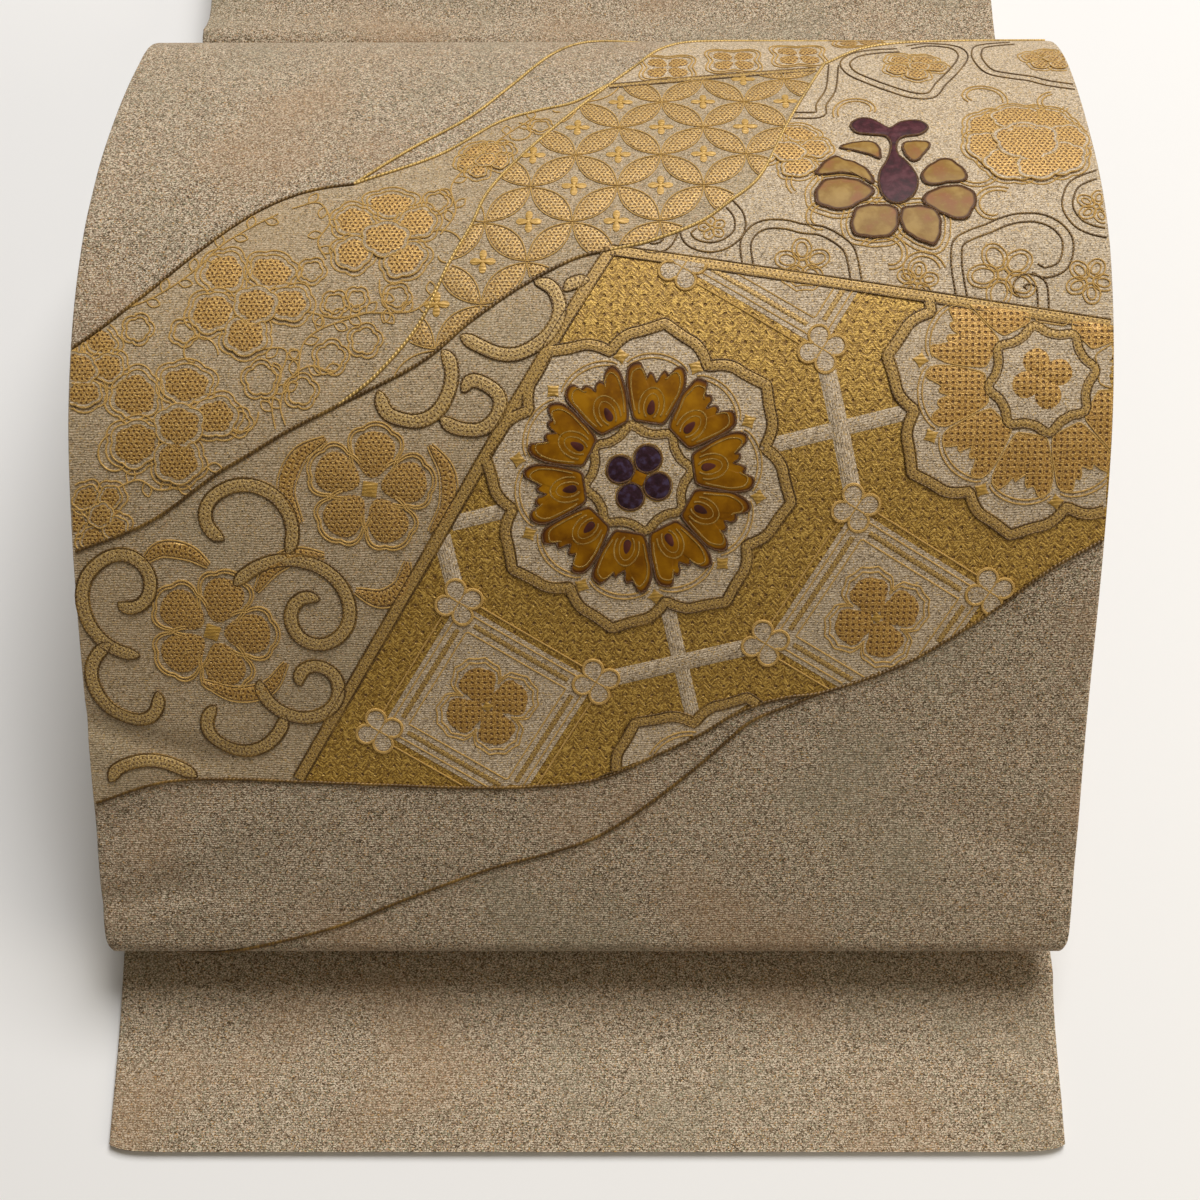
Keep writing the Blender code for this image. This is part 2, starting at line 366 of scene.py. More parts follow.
def polar(centre: Pair, reach: Callable[[Array], Array], count: int = 48, turn: float = 0.0) -> Array:
    """An outline round a centre, going to the left, by its radius at each bearing (radians from turn)."""
    bearing = np.linspace(0, math.tau, count, endpoint=False)
    return turned(*reach(bearing) * (np.cos(bearing), np.sin(bearing)), turn, centre)


def ring(centre: Pair, radius: float, count: int = 48) -> Array:
    """A circle round a centre, without its closing point."""
    return polar(centre, lambda bearing: radius + 0 * bearing, count)


def square_mark(centre: Pair, half: float, turn: float) -> Array:
    """A square round a centre, with sides that bow a little between its drawn points."""
    return polar(centre, lambda b: half / np.maximum(np.abs(np.cos(b)), np.abs(np.sin(b))), 24, turn)


def closed(outline: Array, step: float = 0.0) -> Array:
    """The outline with its first point again at its end, read at even steps where a step is given."""
    whole = np.vstack([outline, outline[:1]])
    return evenly(whole, step) if step else whole


def outer_run(outline: Array, away: Array) -> Array:
    """The stretch of a closed outline that is marked as away, in one piece."""
    start = int(np.argmin(away))
    return np.roll(outline, -start, axis=0)[np.roll(away, -start)]


def marked_runs(path: Array, mask: Array, least: int) -> list[Array]:
    """The stretches of a line whose points are marked.

    Args:
        path: rows of (across, along).
        mask: whether each point is marked.
        least: the fewest points that a stretch has.

    Returns:
        Each stretch's rows.
    """
    mask = np.concatenate([[False], mask, [False]])
    edges = np.flatnonzero(mask[1:] != mask[:-1])
    return [path[a:b] for a, b in zip(edges[::2], edges[1::2]) if b - a >= least]


def petal_outline(centre: Pair, bearing: float, length: float, width: float, tip: float = 0.5,
                  frill: float = 0.0, lobes: int = 0, count: int = 44) -> Array:
    """A petal's outline: an ellipse, wider towards its far end, its edge scalloped.

    Args:
        centre: its middle.
        bearing: where its far end points, in degrees.
        length: half its length.
        width: half its width.
        tip: how much wider its far half is than its near half, as a share.
        frill: depth of the scallops, as a share of its radius.
        lobes: how many scallops go round.
        count: how many points.

    Returns:
        Rows of (across, along), going to the left.
    """
    turn = np.linspace(0, math.tau, count, endpoint=False)
    wave = 1 - frill * (1 - np.abs(np.cos(0.5 * lobes * turn)) ** 0.8)
    side = width * np.sin(turn) * wave * (1 + tip * 0.5 * np.cos(turn))
    return turned(length * np.cos(turn) * wave, side, bearing, centre)


FLAME = (
    (16.4, -2.2), (16.7, -4.3), (19.5, -5.9), (23, -7.2), (26.5, -8.3), (29.5, -8.9), (32, -8.5),
    (33.6, -6.9), (33.3, -5.4), (31.4, -4.2), (30.8, -3.3), (31.7, -2.3), (30.6, -1.2), (28.3, -0.4),
    (30.2, 1), (30.5, 2.1), (29.5, 2.9), (31.7, 4.4), (33.2, 5.7), (33, 7.3), (31, 8.6), (27.5, 8.4),
    (24, 7.5), (20, 6), (16.7, 4.3), (16.4, 2.2),
)
FLAME_HEART = 22.8


def flame_petal(centre: Pair, degrees: float, draw: int) -> tuple[Array, Array]:
    """A fishtail petal of a round flower: two horns with small teeth between, each petal a little different.

    Args:
        centre: the flower's middle.
        degrees: the petal's bearing.
        draw: picks which way round it is and how its teeth stray.

    Returns:
        Its outline without the closing point, and its heart.
    """
    local = np.array(FLAME)
    stray = np.random.default_rng(40 + draw).normal(0, 0.20, local.shape)
    local = local + stray * (local[:, :1] > 24.0)
    if draw % 2:
        local = local[::-1] * (1, -1)
    local = smooth(local, 0.55, closed=True)[:-1]
    return turned(*local.T, degrees, centre), np.array(toward(centre, degrees, FLAME_HEART))


@dataclass(frozen=True)
class Zone:
    """Part of the drum between two borders, each with one height for each place across."""

    lower: Array
    upper: Array
    left: float
    right: float

    def heights(self, across: Array) -> list[Array]:
        """The lower and the upper border's heights at each place across."""
        return [np.interp(across, *border.T) for border in (self.lower, self.upper)]

    def holds(self, points: Array, inset: float = 0.2) -> Array:
        """Whether each place lies inside the zone.

        Args:
            points: places, their last axis (across, along).
            inset: how far the zone's edges are moved in.

        Returns:
            True or False for each place.
        """
        across, along = np.moveaxis(np.asarray(points), -1, 0)
        low, high = self.heights(across)
        sides = (across >= self.left + inset) & (across <= self.right - inset)
        return sides & (along >= low + inset) & (along <= high - inset)

    def runs(self, path: Array, inset: float = 0.2) -> list[Array]:
        """The stretches of a line that lie inside."""
        return marked_runs(path, self.holds(path, inset), 4)

    def trim(self, outline: Array, centre: Array, inset: float = 0.2) -> Array | None:
        """Draws an outline in along its rays until it lies inside.

        Args:
            outline: closed outline without its closing point.
            centre: the place its rays start from.
            inset: how far inside the zone it stays.

        Returns:
            The outline drawn in, or None where its centre is outside or hardly anything is left.
        """
        if not self.holds(centre, inset):
            return None
        share = np.linspace(0, 1, 33)
        rays = centre + share[:, None, None] * (outline - centre)
        kept = np.cumprod(self.holds(rays, inset), axis=0).sum(axis=0) - 1
        reach = share[kept]
        return centre + reach[:, None] * (outline - centre) if reach.mean() > 0.12 else None


# ---- Materials ----


class Slot(Enum):
    """The record's material slots."""

    BROCADE = "brocade"
    GOLD = "gold_stitch"
    PALE = "pale_stitch"
    CORD = "outline_cord"
    AMBER = "amber_inlay"
    VIOLET = "violet_inlay"


class Effect(Enum):
    """Node groups that several finishes share."""

    FLECKS = "flecks"
    RIBS = "weft_ribs"
    HOLES = "needle_holes"
    STRANDS = "thread_strands"


class NodeSheet:
    """Adds nodes to one tree and joins them."""

    def __init__(self, tree: Tree) -> None:
        """Takes the tree that the nodes go in."""
        self.tree = tree

    def add(self, kind: str, values: dict[Any, Any] | None = None, **settings: Any) -> Node:
        """Adds a node.

        Args:
            kind: its type.
            values: for each input, a socket to join or a value to set.
            settings: its properties.

        Returns:
            The node.
        """
        node = self.tree.nodes.new(kind)
        for key, value in settings.items():
            setattr(node, key, value)
        for key, value in (values or {}).items():
            self.feed(node.inputs[key], value)
        return node

    def feed(self, socket: Socket, value: Any) -> None:
        """Joins a socket to the input, or sets the input's own value.

        Args:
            socket: the input.
            value: a socket or a plain value.
        """
        if isinstance(value, Socket):
            self.tree.links.new(value, socket)
        else:
            socket.default_value = value

    def math(self, operation: str, a: Any, b: Any = 0.0) -> Socket:
        """One sum of two numbers."""
        return self.add("ShaderNodeMath", {0: a, 1: b}, operation=operation).outputs[0]

    def vector(self, operation: str, a: Any, b: Any) -> Socket:
        """One sum of two vectors, where a number socket counts for all three axes."""
        return self.add("ShaderNodeVectorMath", {0: a, 1: b}, operation=operation).outputs[0]

    def mix(self, share: Any, a: Any, b: Any) -> Socket:
        """Mixes two colours; a constant colour is given as three numbers."""
        a, b = ((*v, 1.0) if isinstance(v, tuple) else v for v in (a, b))
        return self.add("ShaderNodeMix", {0: share, 6: a, 7: b}, data_type="RGBA").outputs[2]

    def ramp(self, share: Any, stops: Sequence[tuple[float, Colour]], stepped: bool = False) -> Socket:
        """Turns a number into a colour through a row of stops.

        Args:
            share: the number.
            stops: each stop's place and colour.
            stepped: whether the colours change in steps.

        Returns:
            The colour.
        """
        node = self.add("ShaderNodeValToRGB", {0: share})
        node.color_ramp.interpolation = "CONSTANT" if stepped else "LINEAR"
        elements = node.color_ramp.elements
        while len(elements) < len(stops):
            elements.new(1.0)
        for element, (place, colour) in zip(elements, stops):
            element.position, element.color = place, (*colour, 1.0)
        return node.outputs[0]

    def spread(self, value: Any, low: Any, high: Any, least: Any = 0.0, most: Any = 1.0) -> Socket:
        """Maps low..high to least..most, clamped, with soft ends."""
        return self.add("ShaderNodeMapRange", {0: value, 1: low, 2: high, 3: least, 4: most},
                        interpolation_type="SMOOTHSTEP").outputs[0]

    def noise(self, vector: Any, scale: float, detail: float = 2.0, output: int = 0) -> Socket:
        """Cloudy noise at a number of features a metre, as a number or (output 1) as a colour."""
        node = self.add("ShaderNodeTexNoise", {"Vector": vector, "Scale": scale, "Detail": detail})
        return node.outputs[output]

    def effect(self, which: Effect, values: dict[str, Any]) -> Any:
        """Places a shared node group with its own values, and gives its outputs."""
        return self.add("ShaderNodeGroup", values, node_tree=EffectLibrary().tree(which)).outputs


@dataclass(frozen=True)
class EffectLibrary:
    """Builds each shared node group once."""

    yarn_cells: float = 3300.0
    yarn_wobble: float = 0.0006

    def tree(self, which: Effect) -> Tree:
        """The group of an effect, built the first time it is asked for.

        Args:
            which: the effect.

        Returns:
            Its node tree.
        """
        found = bpy.data.node_groups.get(which.value)
        if found:
            return found
        maker, inputs, outputs = {
            Effect.FLECKS: (self.flecks, (), ("Pick", "Blotch", "Fine")),
            Effect.RIBS: (self.ribs, ("Pitch",), ("Height",)),
            Effect.HOLES: (self.holes, ("Pitch X", "Pitch Y", "Row Shift", "Radius", "Jitter"), ("Hole",)),
            Effect.STRANDS: (self.strands, (), ("Glint", "Height")),
        }[which]
        made = bpy.data.node_groups.new(which.value, "ShaderNodeTree")
        made.interface.new_socket("Vector", in_out="INPUT", socket_type="NodeSocketVector")
        for labels, side in ((inputs, "INPUT"), (outputs, "OUTPUT")):
            for label in labels:
                made.interface.new_socket(label, in_out=side, socket_type="NodeSocketFloat")
        sheet = NodeSheet(made)
        results = maker(sheet, sheet.add("NodeGroupInput").outputs)
        sheet.add("NodeGroupOutput", dict(zip(outputs, results)))
        return made

    def flecks(self, sheet: NodeSheet, given: Any) -> tuple[Socket, ...]:
        """Spun yarn: each small cell has its own random number, and slow clouds go over them.

        Args:
            sheet: takes the nodes.
            given: the group's inputs.

        Returns:
            The yarn's number, the slow clouds and the fine noise.
        """
        wide = sheet.vector("MULTIPLY", given["Vector"], (0.90, 1.15, 1.0))
        wobble = (self.yarn_wobble, self.yarn_wobble, 0.0)
        shift = sheet.vector("MULTIPLY", sheet.noise(wide, 900.0, 1.0, output=1), wobble)
        cells = sheet.add("ShaderNodeTexVoronoi",
                          {"Vector": sheet.vector("ADD", wide, shift), "Scale": self.yarn_cells},
                          voronoi_dimensions="2D", feature="F1")
        split = sheet.add("ShaderNodeSeparateColor", {0: cells.outputs["Color"]})
        return split.outputs[0], sheet.noise(given["Vector"], 16.0, 4.0), sheet.noise(wide, 1500.0)

    def ribs(self, sheet: NodeSheet, given: Any) -> tuple[Socket]:
        """Weft ribs: a sine along the cloth, its phase pushed a little by slow noise.

        Args:
            sheet: takes the nodes.
            given: the group's inputs.

        Returns:
            The ribs' height, 0 to 1.
        """
        place = sheet.add("ShaderNodeSeparateXYZ", {0: given["Vector"]}).outputs[1]
        turns = sheet.math("DIVIDE", place, given["Pitch"])
        wobble = sheet.math("MULTIPLY", sheet.noise(given["Vector"], 180.0), 1.6)
        wave = sheet.math("SINE", sheet.math("MULTIPLY", sheet.math("ADD", turns, wobble), math.tau))
        return (sheet.math("ADD", sheet.math("MULTIPLY", wave, 0.5), 0.5),)

    def holes(self, sheet: NodeSheet, given: Any) -> tuple[Socket]:
        """Needle holes in rows: one soft dot in the middle of each cell, with a shift in every other row.

        Args:
            sheet: takes the nodes.
            given: the group's inputs.

        Returns:
            How far each place is in a hole, 0 to 1.
        """
        stray = sheet.vector("SUBTRACT", sheet.noise(given["Vector"], 700.0, output=1), (0.5, 0.5, 0.5))
        moved = sheet.vector("ADD", given["Vector"], sheet.vector("MULTIPLY", stray, given["Jitter"]))
        split = sheet.add("ShaderNodeSeparateXYZ", {0: moved})
        rows = sheet.math("DIVIDE", split.outputs[1], given["Pitch Y"])
        odd = sheet.math("FLOORED_MODULO", sheet.math("FLOOR", rows), 2.0)
        shift = sheet.math("MULTIPLY", odd, given["Row Shift"])
        columns = sheet.math("ADD", sheet.math("DIVIDE", split.outputs[0], given["Pitch X"]), shift)
        away = []
        for cells, pitch in ((columns, "Pitch X"), (rows, "Pitch Y")):
            part = sheet.math("SUBTRACT", sheet.math("FRACT", cells), 0.5)
            size = sheet.math("MULTIPLY", part, given[pitch])
            away.append(sheet.math("MULTIPLY", size, size))
        distance = sheet.math("SQRT", sheet.math("ADD", *away))
        inner = sheet.math("MULTIPLY", given["Radius"], 0.45)
        return (sheet.spread(distance, inner, given["Radius"], 1.0, 0.0),)

    def strands(self, sheet: NodeSheet, given: Any) -> tuple[Socket, Socket]:
        """Laid threads: noise drawn out along the first axis, as bright glints and as height."""
        value = sheet.noise(sheet.vector("MULTIPLY", given["Vector"], (700.0, 2600.0, 700.0)), 1.0, 3.0)
        return sheet.spread(value, 0.54, 0.70), value


@dataclass(frozen=True)
class Finish:
    """What every finish has: a name, its slot and the gloss of its surface."""

    name: str
    slot: Slot = Slot.GOLD
    roughness: float = 0.6
    metallic: float = 0.0
    sheen: float = 0.0
    coat: float = 0.0
    bump: float = 0.0001
    specular: float = 0.5

    def material(self) -> Material:
        """The finish's material, built the first time it is asked for.

        Returns:
            The material.
        """
        found = bpy.data.materials.get(self.name)
        if found:
            return found
        made = bpy.data.materials.new(self.name)
        made.use_nodes = True
        made.node_tree.nodes.clear()
        sheet = NodeSheet(made.node_tree)
        shader = sheet.add("ShaderNodeBsdfPrincipled", {
            "Roughness": self.roughness,
            "Metallic": self.metallic,
            "Sheen Weight": self.sheen,
            "Sheen Roughness": 0.45,
            "Coat Weight": self.coat,
            "Coat Roughness": 0.12,
            "Specular IOR Level": self.specular,
        })
        colour, height = self.paint(sheet)
        sheet.feed(shader.inputs["Base Color"], colour)
        if height is not None:
            bump = sheet.add("ShaderNodeBump", {"Height": height, "Strength": 1.0, "Distance": self.bump})
            sheet.feed(shader.inputs["Normal"], bump.outputs[0])
        sheet.add("ShaderNodeOutputMaterial", {0: shader.outputs[0]})
        return made

    def flat(self, sheet: NodeSheet) -> Socket:
        """The piece's own map: metres across and along the cloth, or along and across a band."""
        return sheet.add("ShaderNodeUVMap", uv_map="flat").outputs[0]

    def paint(self, sheet: NodeSheet) -> tuple[Any, Any]:
        """The colour socket and the height socket. Each finish has its own."""
        raise NotImplementedError


@dataclass(frozen=True)
class Melange(Finish):
    """Silk woven from flecked yarn: a random yarn colour in each small cell, ribs, and slow tints."""

    slot: Slot = Slot.PALE
    sheen: float = 0.08
    yarns: tuple[tuple[float, Colour], ...] = ()
    pitch: float = 0.00075
    warm: Colour = (0.42, 0.25, 0.13)
    cool: Colour = (0.29, 0.265, 0.18)
    shade: Colour = (0.10, 0.075, 0.045)
    tint: float = 0.30

    def paint(self, sheet: NodeSheet) -> tuple[Socket, Socket]:
        """Yarn colours under two slow tints, darker between ribs; ribs and yarn as height.

        Args:
            sheet: takes the nodes.

        Returns:
            The colour and the height.
        """
        flat = self.flat(sheet)
        yarn = sheet.effect(Effect.FLECKS, {"Vector": flat})
        rib = sheet.effect(Effect.RIBS, {"Vector": flat, "Pitch": self.pitch})[0]
        colour = sheet.ramp(yarn["Pick"], self.yarns, stepped=True)
        colour = sheet.mix(sheet.spread(yarn["Blotch"], 0.50, 0.68, 0.0, self.tint), colour, self.warm)
        colour = sheet.mix(sheet.spread(yarn["Blotch"], 0.48, 0.32, 0.0, self.tint), colour, self.cool)
        between = sheet.math("MULTIPLY", sheet.math("SUBTRACT", 1.0, rib), 0.22)
        height = sheet.math("ADD", rib, sheet.math("MULTIPLY", yarn["Fine"], 1.2))
        return sheet.mix(between, colour, self.shade), height


@dataclass(frozen=True)
class NeedleMesh(Finish):
    """Gold thread drawn open into rows of dark needle holes, with glints along the thread."""

    roughness: float = 0.48
    metallic: float = 0.3
    bump: float = 0.0002
    thread: Colour = (0.45, 0.240, 0.046)
    light: Colour = (0.84, 0.55, 0.17)
    ground: Colour = (0.42, 0.250, 0.078)
    hole: Colour = (0.115, 0.042, 0.008)
    pitch: Pair = (0.00150, 0.00120)
    radius: float = 0.00042
    shift: float = 0.5
    deep: float = 0.88
    stray: float = 1.8
    sparkle: float = 0.65

    def paint(self, sheet: NodeSheet) -> tuple[Socket, Socket]:
        """Thread colour over the ground, with painted glints along the strands and painted sparkle from fine
        noise, dark in the holes; holes sink in.

        Args:
            sheet: takes the nodes.

        Returns:
            The colour and the height.
        """
        flat = self.flat(sheet)
        hole = sheet.effect(Effect.HOLES, {
            "Vector": flat, "Pitch X": self.pitch[0], "Pitch Y": self.pitch[1], "Row Shift": self.shift,
            "Radius": self.radius, "Jitter": self.stray * self.radius,
        })[0]
        strands = sheet.effect(Effect.STRANDS, {"Vector": flat})
        patch = sheet.spread(sheet.noise(flat, 1100.0, 1.0), 0.40, 0.62)
        colour = sheet.mix(patch, self.thread, self.ground)
        colour = sheet.mix(strands["Glint"], colour, self.light)
        # Painted sparkle: fine noise draws the thread towards the light colour as glints and towards the hole
        # colour as dark specks of shade.
        sparkle_noise = sheet.noise(flat, 2300.0, 1.0)
        colour = sheet.mix(sheet.spread(sparkle_noise, 0.50, 0.66, 0.0, self.sparkle), colour, self.light)
        colour = sheet.mix(sheet.spread(sparkle_noise, 0.50, 0.34, 0.0, self.sparkle), colour, self.hole)
        colour = sheet.mix(sheet.math("MULTIPLY", hole, self.deep), colour, self.hole)
        return colour, sheet.math("SUBTRACT", strands["Height"], sheet.math("MULTIPLY", hole, 2.0))


@dataclass(frozen=True)
class RibbedGold(NeedleMesh):
    """The closely worked gold ground: short slanted stitches that turn over in each column, and dots."""

    column: float = 0.0040
    stroke_size: Pair = (330.0, 1150.0)
    stroke_dark: Colour = (0.15, 0.075, 0.010)

    def paint(self, sheet: NodeSheet) -> tuple[Socket, Socket]:
        """Adds strokes to the needle mesh: noise drawn out on one slant or the other, light and dark.

        Args:
            sheet: takes the nodes.

        Returns:
            The colour and the height.
        """
        colour, height = super().paint(sheet)
        split = sheet.add("ShaderNodeSeparateXYZ", {0: self.flat(sheet)})
        slants = [sheet.math(way, split.outputs[1], split.outputs[0]) for way in ("ADD", "SUBTRACT")]
        strokes = []
        for pair in (slants, slants[::-1]):
            drawn = {k: sheet.math("MULTIPLY", pair[k], self.stroke_size[k]) for k in (0, 1)}
            strokes.append(sheet.noise(sheet.add("ShaderNodeCombineXYZ", drawn).outputs[0], 1.0))
        turns = sheet.math("SINE", sheet.math("MULTIPLY", split.outputs[0], math.tau / self.column))
        stroke = sheet.mix(sheet.spread(turns, -0.4, 0.4), strokes[0], strokes[1])
        colour = sheet.mix(sheet.spread(stroke, 0.50, 0.64, 0.0, 0.75), colour, self.light)
        colour = sheet.mix(sheet.spread(stroke, 0.50, 0.36, 0.0, 0.60), colour, self.stroke_dark)
        return colour, sheet.math("ADD", height, sheet.math("MULTIPLY", stroke, 1.6))


@dataclass(frozen=True)
class TwistedCord(Finish):
    """Couched cord: two plies twisted round each other, one of them gold; its gold stretches are partly the
    ply's own colour and partly painted glints.
    """

    slot: Slot = Slot.CORD
    dark: Colour = (0.085, 0.052, 0.016)
    gold: Colour = (0.40, 0.26, 0.075)
    share: float = 0.35
    twist: float = 0.0013

    def paint(self, sheet: NodeSheet) -> tuple[Socket, Socket]:
        """Slow and fine noise along the cord pick gold or dark, nudged by the ply, as painted glints on the
        gold ply; the plies stand out.

        Args:
            sheet: takes the nodes.

        Returns:
            The colour and the height.
        """
        flat = self.flat(sheet)
        split = sheet.add("ShaderNodeSeparateXYZ", {0: flat})
        turns = sheet.math("ADD", sheet.math("DIVIDE", split.outputs[0], self.twist), split.outputs[1])
        ply = sheet.math("SINE", sheet.math("MULTIPLY", turns, math.tau))
        fine = sheet.noise(sheet.vector("MULTIPLY", flat, (1.0, 0.0009, 1.0)), 900.0)
        slow = sheet.noise(sheet.vector("MULTIPLY", flat, (1.0, 0.0, 1.0)), 65.0)
        # The gold stretches that the noise picks are painted glints as well as the gold ply's own colour.
        both = sheet.math("ADD", sheet.math("MULTIPLY", fine, 0.35), sheet.math("MULTIPLY", slow, 0.65))
        mask = sheet.math("ADD", sheet.math("MULTIPLY", ply, 0.03), both)
        cut = 0.66 - 0.32 * self.share
        return sheet.mix(sheet.spread(mask, cut - 0.12, cut + 0.12), self.dark, self.gold), ply


@dataclass(frozen=True)
class LaidThread(Finish):
    """Plain laid thread or satin: one colour that varies along its strands."""

    body: Colour = (0.62, 0.42, 0.15)
    light: Colour = (0.90, 0.68, 0.34)
    shade: Colour = (0.33, 0.20, 0.06)
    pitch: float = 0.0011
    ribbed: float = 0.25

    def paint(self, sheet: NodeSheet) -> tuple[Socket, Socket]:
        """Strand glints over the body colour, with ribs across as height and a slight shade.

        Args:
            sheet: takes the nodes.

        Returns:
            The colour and the height.
        """
        flat = self.flat(sheet)
        strands = sheet.effect(Effect.STRANDS, {"Vector": flat})
        rib = sheet.effect(Effect.RIBS, {"Vector": flat, "Pitch": self.pitch})[0]
        between = sheet.math("MULTIPLY", sheet.math("SUBTRACT", 1.0, rib), self.ribbed)
        colour = sheet.mix(strands["Glint"], sheet.mix(between, self.body, self.shade), self.light)
        return colour, sheet.math("ADD", rib, strands["Height"])


@dataclass(frozen=True)
class Inlay(Finish):
    """A glossy inlay: cloudy body colour, streaks, and a dark edge where the rim attribute nears one."""

    slot: Slot = Slot.AMBER
    body: Colour = (0.25, 0.100, 0.0012)
    light: Colour = (0.35, 0.155, 0.003)
    patch: Colour = (0.17, 0.060, 0.001)
    edge: Colour = (0.07, 0.02, 0.008)
    clouds: float = 160.0
    edge_from: float = 0.88

    def paint(self, sheet: NodeSheet) -> tuple[Socket, Socket]:
        """Clouds between three colours, drawn towards the edge colour near the rim; clouds as height.

        Args:
            sheet: takes the nodes.

        Returns:
            The colour and the height.
        """
        here = sheet.add("ShaderNodeTexCoord").outputs["Object"]
        cloud, fine = sheet.noise(here, self.clouds, 4.0), sheet.noise(here, self.clouds * 5, 3.0)
        colour = sheet.ramp(cloud, ((0.34, self.patch), (0.50, self.body), (0.66, self.light)))
        colour = sheet.mix(sheet.spread(fine, 0.55, 0.75, 0.0, 0.35), colour, self.light)
        rim = sheet.add("ShaderNodeAttribute", attribute_name="rim").outputs["Fac"]
        return sheet.mix(sheet.spread(rim, self.edge_from, self.edge_from + 0.10), colour, self.edge), fine


@dataclass(frozen=True)
class Studio(Finish):
    """The pale surface that the sash lies on."""

    colour: Colour = (0.86, 0.86, 0.86)
    cloud_share: float = 0.985

    def paint(self, sheet: NodeSheet) -> tuple[Socket, None]:
        """A pale colour with the faintest clouds.

        Args:
            sheet: takes the nodes.

        Returns:
            The colour, and None for no height.
        """
        cloud = sheet.noise(sheet.add("ShaderNodeTexCoord").outputs["Object"], 3.0)
        return sheet.mix(cloud, self.colour, tuple(self.cloud_share * c for c in self.colour)), None


BROCADE = Melange(
    "brocade_melange", slot=Slot.BROCADE, roughness=0.78, bump=0.00006, specular=0.25,
    yarns=(
        (0.00, (0.070, 0.044, 0.020)), (0.15, (0.21, 0.152, 0.092)), (0.37, (0.38, 0.300, 0.208)),
        (0.59, (0.73, 0.61, 0.455)), (0.83, (0.50, 0.33, 0.22)), (0.90, (0.52, 0.31, 0.12)),
        (0.94, (0.30, 0.30, 0.19)),
    ),
)
PALE_GROUND = Melange(
    "pale_melange", roughness=0.70, bump=0.00006, specular=0.35, tint=0.14,
    yarns=(
        (0.00, (0.13, 0.09, 0.045)), (0.08, (0.29, 0.210, 0.115)), (0.32, (0.41, 0.315, 0.190)),
        (0.62, (0.60, 0.475, 0.32)), (0.88, (0.50, 0.33, 0.19)), (0.94, (0.52, 0.34, 0.13)),
    ),
    warm=(0.46, 0.31, 0.15), cool=(0.38, 0.34, 0.22),
)
# A lighter copy of the pale ground, for the medallions, lattice bars and clouds; part of its extra lightness
# is painted light that makes up for the shade on the drum's slope.
MEDALLION_GROUND = Melange(
    "medallion_melange", roughness=0.66, bump=0.00005, specular=0.35, tint=0.12,
    yarns=(
        (0.00, (0.17, 0.120, 0.065)), (0.12, (0.40, 0.30, 0.190)), (0.40, (0.55, 0.435, 0.300)),
        (0.70, (0.78, 0.64, 0.46)), (0.92, (0.64, 0.43, 0.17)),
    ),
    warm=(0.50, 0.35, 0.18), cool=(0.43, 0.38, 0.27),
)
GOLD_MESH = NeedleMesh("gold_needle_mesh")
WIDE_MESH = NeedleMesh(
    "wide_needle_mesh", pitch=(0.0019, 0.00185), radius=0.00052,
    shift=0.0, stray=0.8, thread=(0.44, 0.225, 0.035), ground=(0.40, 0.22, 0.055),
)
LEAF_STITCH = NeedleMesh(
    "leaf_stitch", metallic=0.25, bump=0.00018, pitch=(0.0013, 0.0011), radius=0.0004,
    deep=0.7, thread=(0.43, 0.245, 0.060), ground=(0.44, 0.30, 0.130),
)
BAND_STITCH = NeedleMesh(
    "band_stitch", roughness=0.50, metallic=0.25, bump=0.00018, pitch=(0.0014, 0.0013), radius=0.00032,
    deep=0.6, thread=(0.40, 0.245, 0.060), light=(0.76, 0.50, 0.15), ground=(0.37, 0.24, 0.085),
)
SCROLL_STITCH = NeedleMesh(
    "scroll_stitch", roughness=0.52, metallic=0.2, bump=0.00018, pitch=(0.0013, 0.0012), radius=0.00034,
    deep=0.75, thread=(0.42, 0.270, 0.085), light=(0.84, 0.59, 0.22), ground=(0.41, 0.285, 0.130),
)
GOLD_GROUND = RibbedGold(
    "gold_ground_stitch", bump=0.00022, pitch=(0.0040, 0.0029), radius=0.00055,
    stray=0.8, deep=0.85, thread=(0.34, 0.185, 0.020), light=(0.70, 0.45, 0.100), ground=(0.30, 0.170, 0.026),
)
# Each cord's gold colour is partly the gold ply's own and partly painted glints.
DARK_CORD = TwistedCord("dark_couched_cord", roughness=0.42, metallic=0.3, bump=0.00006, share=0.36,
                        dark=(0.095, 0.050, 0.012), gold=(0.27, 0.155, 0.034))
BRIGHT_CORD = TwistedCord("bright_couched_cord", roughness=0.40, metallic=0.35, bump=0.00008, share=0.75,
                          dark=(0.23, 0.145, 0.036), gold=(0.56, 0.37, 0.11))
GOLD_THREAD = LaidThread("gold_thread", roughness=0.46, metallic=0.25, bump=0.00003,
                         body=(0.58, 0.355, 0.095), light=(0.88, 0.62, 0.23), shade=(0.42, 0.235, 0.055))
GOLD_SATIN = LaidThread("gold_satin", roughness=0.48, metallic=0.2, bump=0.00008, body=(0.46, 0.27, 0.05),
                        light=(0.76, 0.50, 0.15), shade=(0.28, 0.15, 0.03))
AMBER = Inlay("amber_inlay_gloss", roughness=0.36, coat=0.05, bump=0.00005, specular=0.2)
BUD_AMBER = Inlay(
    "bud_amber_gloss", roughness=0.45, coat=0.0, bump=0.00005, specular=0.15, body=(0.265, 0.146, 0.029),
    light=(0.37, 0.23, 0.062), patch=(0.27, 0.110, 0.034), edge=(0.085, 0.032, 0.010), edge_from=0.84,
)
VIOLET = Inlay(
    "violet_inlay_gloss", slot=Slot.VIOLET, roughness=0.34, coat=0.10, bump=0.00006, specular=0.3,
    body=(0.036, 0.013, 0.022), light=(0.062, 0.042, 0.088), patch=(0.020, 0.007, 0.011),
    edge=(0.020, 0.007, 0.012), clouds=520.0,
)
